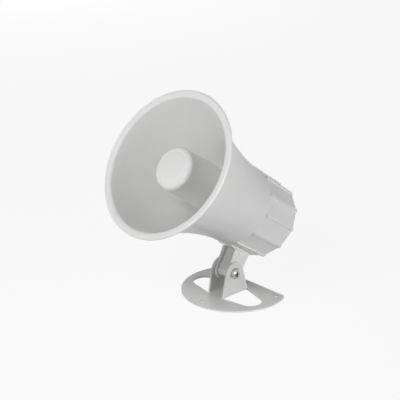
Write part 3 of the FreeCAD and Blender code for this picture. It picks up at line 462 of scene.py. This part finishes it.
def circleAt(bm, radius, centre, segments, turned=None):
    # open circle flat on XY, or turned by a quarter about an axis; gives its edges
    place = Matrix.Translation(centre)
    if turned:
        place = place @ Matrix.Rotation(math.radians(90), 4, turned)
    ring = set(bmesh.ops.create_circle(bm, cap_ends=False, segments=segments, radius=radius,
                                       matrix=place)["verts"])
    return [e for e in bm.edges if all(v in ring for v in e.verts)]


def fillFlat(bm, edges):
    # flat face inside an outline, open where the inner outlines are
    made = bmesh.ops.triangle_fill(bm, use_beauty=True, use_dissolve=False, edges=edges)["geom"]
    faces = [f for f in made if isinstance(f, bmesh.types.BMFace)]
    rims = set(edges)
    inner = list({e for f in faces for e in f.edges if e not in rims})
    joined = bmesh.ops.dissolve_limit(bm, angle_limit=math.radians(1), use_dissolve_boundaries=False,
                                      verts=[], edges=inner, delimit=set())["region"]
    return [f for f in joined if isinstance(f, bmesh.types.BMFace)]


def fillAcross(bm, edges):
    # triangles square to the horn's axis, open where the inner outlines are
    bmesh.ops.triangle_fill(bm, use_beauty=True, use_dissolve=False, normal=(0, 1, 0), edges=edges)


def thicken(bm, faces, along):
    # gives flat faces a thickness by drawing them along a vector
    made = bmesh.ops.extrude_face_region(bm, geom=faces, use_keep_orig=True)["geom"]
    bmesh.ops.translate(bm, vec=along, verts=newVerts(made))


def movedRing(bm, edges, matrix):
    # extrudes a loop of edges, moves the new ring and gives its edges
    made = bmesh.ops.extrude_edge_only(bm, edges=edges)["geom"]
    verts = newVerts(made)
    bmesh.ops.transform(bm, matrix=matrix, verts=verts)
    fresh = set(verts)
    return [e for e in made if isinstance(e, bmesh.types.BMEdge) and all(v in fresh for v in e.verts)]


def sized(factor, slide, about=(0, 0, 0)):
    # scale across the horn's axis about a point, with a slide along it
    there = Matrix.Translation(Vector(about))
    scale = Matrix.Diagonal((factor, 1, factor, 1))
    return there @ Matrix.Translation((0, slide, 0)) @ scale @ there.inverted()


def boxIn(bm, low, high):
    low, high = Vector(low), Vector(high)
    place = Matrix.Translation((low + high) / 2) @ Matrix.Diagonal((*(high - low), 1))
    bmesh.ops.create_cube(bm, size=1.0, matrix=place)


def addTo(bm, other):
    # adds another bmesh's shape and frees it
    mesh = bpy.data.meshes.new("spare")
    other.to_mesh(mesh)
    other.free()
    bm.from_mesh(mesh)
    bpy.data.meshes.remove(mesh)


def mergedCopy(node):
    bm = bmesh.new()
    bm.from_mesh(nodes[node].data)
    return bm


def islandCentres(node):
    # middle of each separate solid in a node, at rest
    bm = mergedCopy(node)
    bmesh.ops.remove_doubles(bm, verts=bm.verts, dist=1e-6)
    left, centres = set(bm.verts), []
    while left:
        island, reached = set(), [left.pop()]
        while reached:
            vert = reached.pop()
            island.add(vert)
            for other in (e.other_vert(vert) for e in vert.link_edges):
                if other in left:
                    left.discard(other)
                    reached.append(other)
        low = Vector([min(v.co[i] for v in island) for i in range(3)])
        high = Vector([max(v.co[i] for v in island) for i in range(3)])
        centres.append((low + high) / 2)
    bm.free()
    return centres


def softCopy(name, node, finish, width):
    # merged copy of a fastener with its edges rounded
    bm = mergedCopy(node)
    bmesh.ops.remove_doubles(bm, verts=bm.verts, dist=2e-6)
    bmesh.ops.dissolve_limit(bm, angle_limit=math.radians(0.4), verts=bm.verts, edges=bm.edges,
                             delimit={"NORMAL"})
    piece = finishPiece(name, bm, "bracket", finish, [node], smooth=30)
    softenEdges(piece, width, 30)


# horn bell: wall, rolled lip, and the floor that the tone tube stands in
bell = {
    "wall": 0.0025, "flarePower": 1.8, "flareSteps": 28, "flareShort": 0.0035, "steps": 192,
    "lipOverhang": 0.0034, "lipThick": 0.0026, "lipWidth": 0.0063, "lipSteps": 14,
    "hollowBack": 0.0006, "hollowOut": 0.0007, "hollowRound": 0.0010,
    "faceOut": 0.0016, "faceBack": 0.00015, "creaseOut": 0.0006, "creaseBack": 0.0006,
    "turnBack": 0.0011, "turnOut": 0.00015, "insideBack": 0.0022,
    "floorAhead": 0.008, "floorRound": 0.006, "floorSteps": 10, "floorThick": 0.005, "tubeHole": 0.0112,
    "tongueIn": 0.0347, "tongueOut": 0.0358, "tongueLength": 0.003,
}


def flareRadius(y):
    # outer radius of the bell's wall; it starts at the seam and grows towards the mouth
    share = max((seamY - y) / (seamY - mouthY), 0.0)
    return cornerRadius + (bellRadius - bell["lipOverhang"] - cornerRadius) * share ** bell["flarePower"]


def insideRadius(y, step=0.0005):
    # the wall's thickness is square to its slope
    slope = (flareRadius(y - step) - flareRadius(y + step)) / (2 * step)
    return flareRadius(y) - bell["wall"] * math.hypot(1, slope)


def makeBell():
    lipBack = mouthY + bell["lipThick"]
    lipInner = bellRadius - bell["lipWidth"]
    tip = bell["lipThick"] / 2
    steps = bell["flareSteps"]
    length = lipBack + bell["flareShort"] - seamY
    outside = [seamY + length * i / steps for i in range(steps + 1)]
    outside = [(y, flareRadius(y)) for y in outside]
    # a small hollow where the wall turns out into the lip
    hollow = (lipBack + bell["hollowBack"], flareRadius(lipBack) + bell["hollowOut"])
    lip = [hollow, (lipBack, hollow[1] + bell["hollowRound"]), (lipBack, bellRadius - tip)]
    lip += arcPoints((mouthY + tip, bellRadius - tip), tip, 0, 180, bell["lipSteps"])[1:]
    lip += [(mouthY + bell["faceBack"], lipInner + bell["faceOut"]),
            (mouthY + bell["creaseBack"], lipInner + bell["creaseOut"])]
    floorY = seamY - bell["floorAhead"]
    start = mouthY + bell["insideBack"]
    inside = [start + (floorY - bell["floorRound"] - start) * i / steps for i in range(steps + 1)]
    inside = [(y, insideRadius(y)) for y in inside]
    lip.append((mouthY + bell["turnBack"], (lipInner + inside[0][1]) / 2 + bell["turnOut"]))
    endY, endRadius = inside[-1]
    floor = arcPoints((endY, endRadius - bell["floorRound"]), bell["floorRound"],
                      90, 0, bell["floorSteps"])[1:]
    floorBack = floorY + bell["floorThick"]
    floor += [(floorY, bell["tubeHole"]), (floorBack, bell["tubeHole"]), (floorBack, bell["tongueIn"])]
    # a tongue at the seam enters the housing
    tongueEnd = seamY + bell["tongueLength"]
    tongue = [(tongueEnd, bell["tongueIn"]), (tongueEnd, bell["tongueOut"]), (seamY, bell["tongueOut"])]
    bm = spinRound(outside + lip + inside + floor + tongue + outside[:1], bell["steps"])
    piece = finishPiece("hornBell", bm, "horn", whitePlastic, ["horn_bell"], onHorn, 50)


# reflector bullet: shallow dome with a faint ring near its edge, hollow behind
bullet = {
    "edge": 0.0045, "crown": 0.002, "wall": 0.002, "faceRadius": 0.0202, "steps": 128, "rearSoft": 0.0003,
    "sideSteps": 8, "edgeSteps": 16, "domeSteps": 20, "ring": 0.00035, "ringIn": 0.0006, "ringWidth": 0.0008,
    "hollowEase": 0.0008, "hollowSteps": 8,
}


def domePoints(edgeY, rim):
    # from the rounded edge to the middle of the face
    crown, steps = bullet["crown"], bullet["domeSteps"]
    ball = (rim ** 2 + crown ** 2) / (2 * crown)
    points = []
    for i in range(1, steps + 1):
        radius = rim * (1 - i / steps)
        rise = math.sqrt(ball ** 2 - radius ** 2) - ball + crown
        away = (radius - rim + bullet["ringIn"]) / bullet["ringWidth"]
        points.append((edgeY - rise + bullet["ring"] * math.exp(-away ** 2), radius))
    return points


def makeBullet():
    edge, steps = bullet["edge"], bullet["sideSteps"]
    rearEnd, rearRadius, soft = bulletHigh.y, bulletHigh.x, bullet["rearSoft"]
    sideEnd = bulletLow.y + bullet["crown"] + edge
    rim = bullet["faceRadius"] - edge
    side = [(rearEnd, rearRadius - soft), (rearEnd - soft, rearRadius)]
    side += [(rearEnd + (sideEnd - rearEnd) * i / steps,
              rearRadius + (bullet["faceRadius"] - rearRadius) * i / steps) for i in range(1, steps + 1)]
    turn = arcPoints((sideEnd, rim), edge, 90, 180, bullet["edgeSteps"])[1:]
    back = sideEnd - edge - bullet["crown"] + bullet["wall"]
    hollow = [(back, 0), (back, rim - edge)]
    hollow += arcPoints((back + edge, rim - edge), edge - bullet["hollowEase"],
                        180, 90, bullet["hollowSteps"])
    hollow.append((rearEnd, rearRadius - bullet["wall"]))
    bm = spinRound(side + turn + domePoints(sideEnd - edge, rim) + hollow + side[:1], bullet["steps"])
    piece = finishPiece("reflectorBullet", bm, "horn", whitePlastic, ["reflector_bullet"], onHorn, 50)


# ribbed rear housing: a twelve-sided can, open at the seam
housing = {
    "sides": 12, "ribWidth": 0.0024, "ribSoft": 0.00022, "ribRise": 0.0020, "ribStart": 0.0003,
    "draft": 0.0009, "draftSteps": 6, "rearRound": 0.003, "roundSteps": 8, "rimScale": 0.892, "dish": 0.0005,
    "wall": 0.0024, "rearWall": 0.0026, "ledge": 0.0015, "ledgeDepth": 0.0046, "ledgeEnd": 0.005,
    "screwSeat": 0.0027, "screwHole": 0.0017, "screwDepth": 0.004, "leadHole": 0.0048,
    "seatSteps": 28, "leadSteps": 40, "wallSteps": 96,
}


def ribbedOutline(bm, y):
    # twelve-sided outline with a narrow rib at each corner, softened; gives its edges
    loop = circleAt(bm, cornerRadius, (0, y, 0), housing["sides"], "X")
    verts = list({v for e in loop for v in e.verts})
    half = housing["ribWidth"] / 2
    bmesh.ops.bevel(bm, geom=verts, offset=half / math.cos(math.pi / housing["sides"]), segments=1,
                    profile=0.5, affect="VERTICES", material=-1)
    feet = sorted(bm.edges, key=lambda e: e.calc_length())[:housing["sides"]]
    for foot in feet:
        middle = (foot.verts[0].co + foot.verts[1].co) / 2 - Vector((0, y, 0))
        made = bmesh.ops.extrude_edge_only(bm, edges=[foot])["geom"]
        bmesh.ops.translate(bm, vec=middle.normalized() * (ribTop - middle.length), verts=newVerts(made))
    bmesh.ops.delete(bm, geom=list(bm.faces), context="FACES_ONLY")
    bmesh.ops.delete(bm, geom=feet, context="EDGES")
    bmesh.ops.bevel(bm, geom=list(bm.verts), offset=housing["ribSoft"], segments=3, profile=0.5,
                    affect="VERTICES", material=-1)
    return list(bm.edges)


def housingRings():
    # (distance behind the seam, scale) of the rings after the first: sides, rear round, shallow dish
    depth, turn, rise = rearY - seamY, housing["rearRound"], housing["ribRise"]
    shrink = 1 - housing["draft"] / ribTop
    steps = housing["draftSteps"]
    rings = [(rise + (depth - turn - rise) * i / steps, 1 - (1 - shrink) * i / steps)
             for i in range(1, steps + 1)]
    for i in range(1, housing["roundSteps"] + 1):
        a = math.radians(90 * i / housing["roundSteps"])
        rings.append((depth - turn + turn * math.sin(a), shrink - turn * (1 - math.cos(a)) / ribTop))
    return rings + [(depth - housing["dish"], housing["rimScale"])]


def makeHousing():
    bm = bmesh.new()
    at = housing["ribRise"]
    loop = rim = ribbedOutline(bm, seamY + at)
    # the ribs start level with the bell and rise
    start = movedRing(bm, rim, sized(1, housing["ribStart"] - at))
    for v in {v for e in start for v in e.verts}:
        reach = math.hypot(v.co.x, v.co.z)
        if reach > cornerRadius:
            bmesh.ops.scale(bm, vec=(cornerRadius / reach, 1, cornerRadius / reach), verts=[v])
    size = 1.0
    for y, scale in housingRings():
        loop = movedRing(bm, loop, sized(scale / size, y - at))
        size, at = scale, y
    rearFace, rearWall = seamY + at, housing["rearWall"]
    # screw recesses and the lead's hole in the rear face
    screws = [levelled @ centre for centre in islandCentres("housing_screws")]
    centres = [(s.x, rearFace, s.z - axisHeight) for s in screws]
    wells = [circleAt(bm, housing["screwSeat"], centre, housing["seatSteps"], "X") for centre in centres]
    grommetLow, grommetHigh = levelBox("lead_grommet")
    leadZ = (grommetLow.z + grommetHigh.z) / 2 - axisHeight
    lead = circleAt(bm, housing["leadHole"], (0, rearFace, leadZ), housing["leadSteps"], "X")
    fillAcross(bm, loop + lead + [e for well in wells for e in well])
    for well, centre in zip(wells, centres):
        floor = movedRing(bm, well, sized(1, -rearWall))
        hole = movedRing(bm, floor, sized(housing["screwHole"] / housing["screwSeat"], 0, centre))
        deep = movedRing(bm, hole, sized(1, -housing["screwDepth"]))
        bmesh.ops.contextual_create(bm, geom=deep)
    inside = movedRing(bm, lead, sized(1, -rearWall))
    # inner wall from the seam back to the lead's hole
    flat = math.cos(math.pi / housing["sides"])
    inner = (cornerRadius - housing["draft"]) * flat - housing["wall"]
    wide = inner + housing["ledge"]
    front = circleAt(bm, wide, (0, seamY + housing["ribStart"], 0), housing["wallSteps"], "X")
    bmesh.ops.bridge_loops(bm, edges=start + front)
    step = movedRing(bm, front, sized(1, housing["ledgeDepth"]))
    ledge = movedRing(bm, step, sized(inner / wide, 0))
    back = movedRing(bm, ledge, sized(1, rearFace - rearWall - seamY - housing["ledgeEnd"]))
    fillAcross(bm, back + inside)
    piece = finishPiece("ribbedHousing", bm, "horn", whitePlastic, ["rear_housing"], onHorn, 30)


# leg under the housing: two cheeks, a web across and one down the middle, and a sleeve for the bolt
leg = {
    "front": 0.0083, "rootFront": 0.0115, "rear": 0.0103, "edgeSteps": 40, "cheek": 0.0023, "bore": 0.00258,
    "web": 0.0024, "webRecess": 0.0023, "webFoot": 0.001, "overlap": 0.0005, "rootOverlap": 0.0006,
    "padFront": 0.018, "padBelow": 0.0008, "padDeep": 0.0035, "padTaper": 0.0003, "soft": 0.00045,
    "boreSteps": 36, "sleeveSteps": 56,
}


def boltSleeve(reach, radius, footZ):
    # tube about the bolt, lying across
    points = [(-reach, radius), (reach, radius), (reach, leg["bore"]), (-reach, leg["bore"])]
    bm = spinRound(points + points[:1], leg["sleeveSteps"])
    place = Matrix.Translation((0, 0, footZ)) @ Matrix.Rotation(math.radians(90), 4, "Z")
    bmesh.ops.transform(bm, matrix=place, verts=bm.verts)
    return bm


def makeLeg():
    bm = bmesh.new()
    half = levelBox("pivot_leg")[1].x
    reach = half - leg["cheek"] + leg["overlap"]
    footZ = -axisHeight
    padZ = -(cornerRadius + leg["padBelow"])
    rootZ = padZ + leg["rootOverlap"]
    centreY, radius = (leg["rear"] - leg["front"]) / 2, (leg["front"] + leg["rear"]) / 2
    side = [(-leg["rootFront"], rootZ)] + arcPoints((centreY, footZ), radius, 180, 360, leg["edgeSteps"])
    side += [(leg["rear"], rootZ)]
    for x, way in ((half, -1), (-half, 1)):
        rim = outline(bm, [(x, y, z) for y, z in side])
        bore = circleAt(bm, leg["bore"], (x, 0, footZ), leg["boreSteps"], "Y")
        thicken(bm, fillFlat(bm, rim + bore), (way * leg["cheek"], 0, 0))
    webY = leg["webRecess"] - leg["front"]
    boxIn(bm, (-reach, webY, footZ + leg["webFoot"]), (reach, webY + leg["web"], rootZ))
    boxIn(bm, (-leg["web"] / 2, webY + leg["overlap"], footZ),
          (leg["web"] / 2, leg["rear"] - leg["webRecess"], rootZ))
    addTo(bm, boltSleeve(reach, -webY, footZ))
    # pad under the housing, its front end tapered into the wall
    boxIn(bm, (-half, -leg["padFront"], padZ), (half, leg["rear"], padZ + leg["padDeep"]))
    ends = [v for v in bm.verts if abs(v.co.y + leg["padFront"]) < 1e-5 and v.co.z < padZ + 1e-5]
    bmesh.ops.translate(bm, vec=(0, 0, leg["padBelow"] + leg["padTaper"]), verts=ends)
    piece = finishPiece("pivotLeg", bm, "horn", whitePlastic, ["pivot_leg"], onHorn)
    softenEdges(piece, leg["soft"], 50)


# folded steel bracket, drawn on the middle of its sheet
sheet = {
    "thick": 0.0015, "foldRadius": 0.0015, "foldSteps": 8, "neutral": 0.4, "soft": 0.0003,
    "earFront": 0.015, "earRear": 0.0176, "earGap": 0.017, "earSteps": 40, "boltHole": 0.0027,
    "corner": 0.004, "cornerSteps": 8, "rimSteps": 150,
    "hole": 0.00225, "holesX": 0.040, "holesY": 0.016, "frontMargin": 0.009, "holeSteps": 36, "boltHoleSteps": 40,
}


def tabEdge(length, radius):
    # (along, across) points of an ear from its front foot round its tip to its rear foot
    points = [(0.0, -sheet["earFront"])]
    angles = []
    for foot in (-sheet["earFront"], sheet["earRear"]):
        turn = math.acos(radius / math.hypot(length, foot))
        angles.append(math.atan2(foot, -length) + math.copysign(turn, -foot))
    steps = sheet["earSteps"]
    for i in range(steps + 1):
        a = angles[0] + (angles[1] - angles[0]) * i / steps
        points.append((length + radius * math.cos(a), radius * math.sin(a)))
    return points + [(0.0, sheet["earRear"])]


def plateRim(radius, back):
    # round edge, straight back and small corners
    corner, steps = sheet["corner"], sheet["cornerSteps"]
    cornerY = back - corner
    cornerX = math.sqrt((radius - corner) ** 2 - cornerY ** 2)
    bearing = math.degrees(math.atan2(cornerY, cornerX))
    rim = arcPoints((0, 0), radius, 180 - bearing, 360 + bearing, sheet["rimSteps"])
    rim += arcPoints((cornerX, cornerY), corner, bearing, 90, steps)[1:]
    return rim + arcPoints((-cornerX, cornerY), corner, 90, 180 - bearing, steps)[:-1]


def makeBracket():
    bm = bmesh.new()
    mid = sheet["thick"] / 2
    plateRadius, plateBack = bracketHigh.x, bracketHigh.y
    earTip = bracketHigh.z - pivot.z
    earIn = sheet["earGap"] / 2
    foldX = earIn - sheet["foldRadius"]
    earOut, earMid = earIn + sheet["thick"], earIn + mid
    outerFold = sheet["foldRadius"] + sheet["thick"]
    edges = outline(bm, [(x, y, mid) for x, y in plateRim(plateRadius, plateBack)])
    edges += circleAt(bm, sheet["hole"], (0, sheet["frontMargin"] - plateRadius, mid), sheet["holeSteps"])
    for side in (-1, 1):
        edges += circleAt(bm, sheet["hole"], (side * sheet["holesX"], sheet["holesY"], mid), sheet["holeSteps"])
    # openings that the ears are cut from, shorter than the ears by what the fold takes up
    loss = 2 * outerFold - math.pi / 2 * (sheet["foldRadius"] + sheet["neutral"] * sheet["thick"])
    feet = []
    for side in (-1, 1):
        cut = [(side * foldX, pivot.y - sheet["earFront"], mid)]
        cut += [(side * (earOut + a), pivot.y + c, mid) for a, c in tabEdge(pivot.z - loss, earTip)]
        cut += [(side * foldX, pivot.y + sheet["earRear"], mid)]
        ring = outline(bm, cut)
        edges += ring
        feet.append((side, ring[-1]))
    fillFlat(bm, edges)
    # each ear: its foot's edge is turned up round the fold, then the ear stands on it
    for side, foot in feet:
        made = bmesh.ops.spin(bm, geom=[foot] + list(foot.verts), cent=(side * foldX, 0, outerFold),
                              axis=(0, 1, 0), angle=side * -math.pi / 2, steps=sheet["foldSteps"],
                              use_merge=False, use_duplicate=False)["geom_last"]
        top = [e for e in made if isinstance(e, bmesh.types.BMEdge)][0]
        front, rear = sorted(top.verts, key=lambda v: v.co.y)
        standing = [bm.verts.new((side * earMid, pivot.y + c, a)) for a, c in tabEdge(pivot.z, earTip)[1:-1]]
        line = [front] + standing + [rear]
        ring = [bm.edges.new(pair) for pair in zip(line, line[1:])] + [top]
        hole = circleAt(bm, sheet["boltHole"], (side * earMid, pivot.y, pivot.z), sheet["boltHoleSteps"], "Y")
        fillFlat(bm, ring + hole)
    piece = finishPiece("footBracket", bm, "bracket", whitePaint, ["mounting_bracket"])
    wall = piece.modifiers.new("sheet", "SOLIDIFY")
    wall.thickness = sheet["thick"]
    wall.offset = 0
    wall.use_even_offset = True
    softenEdges(piece, sheet["soft"], 60)


makeLeg()
makeBracket()
print("leg and bracket made")
# the bolt and what it carries, with the rounding of their edges
fasteners = {
    "pivotBolt": ("pivot_bolt", brightSteel, 0.00012), "flatWasher": ("flat_washer", dullZinc, 0.00015),
    "springWasher": ("spring_washer", dullZinc, 0.00015), "pivotNut": ("pivot_nut", dullZinc, 0.00015),
}
for pieceName, (node, finish, width) in fasteners.items():
    softCopy(pieceName, node, finish, width)
print("bolt, washers and nut made")
makeBell()
makeBullet()
makeHousing()
print("horn mouldings made")

# carried-over nodes
finishes = {
    "tone_tube": whitePlastic,
    "housing_seal": blackRubber, "housing_screws": brightSteel, "lead_grommet": blackRubber,
    "throat_gasket": blackRubber, "compression_cap": blackPhenolic, "phase_plug": blackPhenolic,
    "diaphragm_dome": domeFilm, "coil_former": domeFilm, "voice_coil": copperWinding,
    "diaphragm_surround": surroundFilm, "clamp_ring": plainSteel, "top_plate": plainSteel,
    "ring_magnet": ferriteGrey, "magnet_yoke": plainSteel, "driver_screws": plainSteel,
    "terminal_strip": fibreBoard, "terminal_tags": tinnedBrass, "siren_board": circuitGreen,
    "board_screws": plainSteel, "siren_chip": epoxyBlack, "power_transistors": epoxyBlack,
    "supply_capacitor": capacitorSleeve, "resistors": resistorBands, "lead_block": terminalGreen,
    "lead_block_screws": plainSteel, "driver_lead_upper": redLead, "driver_lead_lower": blackLead,
}
for name, finish in finishes.items():
    node = nodes[name]
    node.data.materials.clear()
    node.data.materials.append(finish)
print("carried-over nodes finished:", len(finishes))

# stage, lamps and camera
studio = {
    "azimuth": 44.84, "elevation": 22.98, "distance": 1.2067, "lens": 115.8, "sensor": 36, "clipEnd": 20,
    "centre": (0, -0.0095, 0.0596), "aimRight": -0.0260, "aimUp": 0.0323,
    "airColour": (1.0, 1.0, 1.0), "airStrength": 0.04, "background": 1.0,
    "floorColour": 0.40, "floorSeen": 0.07, "floorGlow": 0.905, "floorSize": 3.0, "floorDrop": 0.0002,
    "lamps": {
        "frontLamp": {"azimuth": 10, "elevation": 38, "distance": 1.3, "size": 0.50, "power": 8.4},
        "lowLamp": {"azimuth": -6, "elevation": 9, "distance": 1.3, "size": 0.35, "power": 2.8},
        "sideLamp": {"azimuth": 96, "elevation": 4, "distance": 1.3, "size": 0.50, "power": 9.8},
        "backLamp": {"azimuth": 242, "elevation": 2, "distance": 1.5, "size": 0.90, "power": 9.0},
    },
}


def directionTo(azimuth, elevation):
    a, e = math.radians(azimuth), math.radians(elevation)
    return Vector((math.sin(a) * math.cos(e), -math.cos(a) * math.cos(e), math.sin(e)))


def lookAt(thing, target):
    thing.rotation_euler = (target - thing.location).to_track_quat("-Z", "Y").to_euler()


def makeCamera():
    back = directionTo(studio["azimuth"], studio["elevation"])
    right = Vector((-back.y, back.x, 0)).normalized()
    up = back.cross(right)
    centre = Vector(studio["centre"])
    camera = bpy.data.objects.new("camera", bpy.data.cameras.new("camera"))
    camera.data.lens = studio["lens"]
    camera.data.sensor_width = studio["sensor"]
    camera.data.clip_end = studio["clipEnd"]
    camera.location = centre + back * studio["distance"]
    lookAt(camera, centre + right * studio["aimRight"] + up * studio["aimUp"])
    scene.collection.objects.link(camera)
    scene.camera = camera


def makeLamp(name, lamp):
    light = bpy.data.lights.new(name, "AREA")
    light.shape = "DISK"
    light.size = lamp["size"]
    light.energy = lamp["power"]
    thing = bpy.data.objects.new(name, light)
    centre = Vector(studio["centre"])
    thing.location = centre + directionTo(lamp["azimuth"], lamp["elevation"]) * lamp["distance"]
    lookAt(thing, centre)
    scene.collection.objects.link(thing)


def seenDirectly(tree):
    # 1 for what the camera sees, straight or in gloss or through glass
    path = addNode(tree, "LightPath")
    return maths(tree, "MAXIMUM", path.outputs["Is Camera Ray"],
                 maths(tree, "MAXIMUM", path.outputs["Is Glossy Ray"], path.outputs["Is Transmission Ray"]))


def makeFloor():
    bm = bmesh.new()
    bmesh.ops.create_grid(bm, x_segments=1, y_segments=1, size=studio["floorSize"])
    mesh = bpy.data.meshes.new("floor")
    bm.to_mesh(mesh)
    bm.free()
    floor = bpy.data.objects.new("floor", mesh)
    scene.collection.objects.link(floor)
    floor.location.z = -studio["floorDrop"]
    paper = bpy.data.materials.new("paper")
    paper.use_nodes = True
    tree = paper.node_tree
    tree.nodes.clear()
    output = addNode(tree, "OutputMaterial")
    seen = seenDirectly(tree)
    shade = mixColour(tree, seen, (*[studio["floorColour"]] * 3, 1), (*[studio["floorSeen"]] * 3, 1))
    matt = addNode(tree, "BsdfDiffuse", {"Color": shade})
    glow = addNode(tree, "Emission", {"Color": (1, 1, 1, 1),
                                      "Strength": maths(tree, "MULTIPLY", seen, studio["floorGlow"])})
    both = addNode(tree, "AddShader", {0: matt.outputs[0], 1: glow.outputs[0]})
    tree.links.new(both.outputs[0], output.inputs["Surface"])
    mesh.materials.append(paper)


def makeWorld():
    world = bpy.data.worlds.new("studioAir")
    scene.world = world
    world.use_nodes = True
    tree = world.node_tree
    tree.nodes.clear()
    output = addNode(tree, "OutputWorld")
    air = addNode(tree, "Background", {"Color": (*studio["airColour"], 1), "Strength": studio["airStrength"]})
    white = addNode(tree, "Background", {"Color": (1, 1, 1, 1), "Strength": studio["background"]})
    seen = seenDirectly(tree)
    mixed = addNode(tree, "MixShader", {0: seen, 1: air.outputs[0], 2: white.outputs[0]})
    tree.links.new(mixed.outputs[0], output.inputs["Surface"])


makeFloor()
makeWorld()
makeCamera()
for lampName, lamp in studio["lamps"].items():
    makeLamp(lampName, lamp)
scene.view_settings.view_transform = "Standard"
print("stage set")
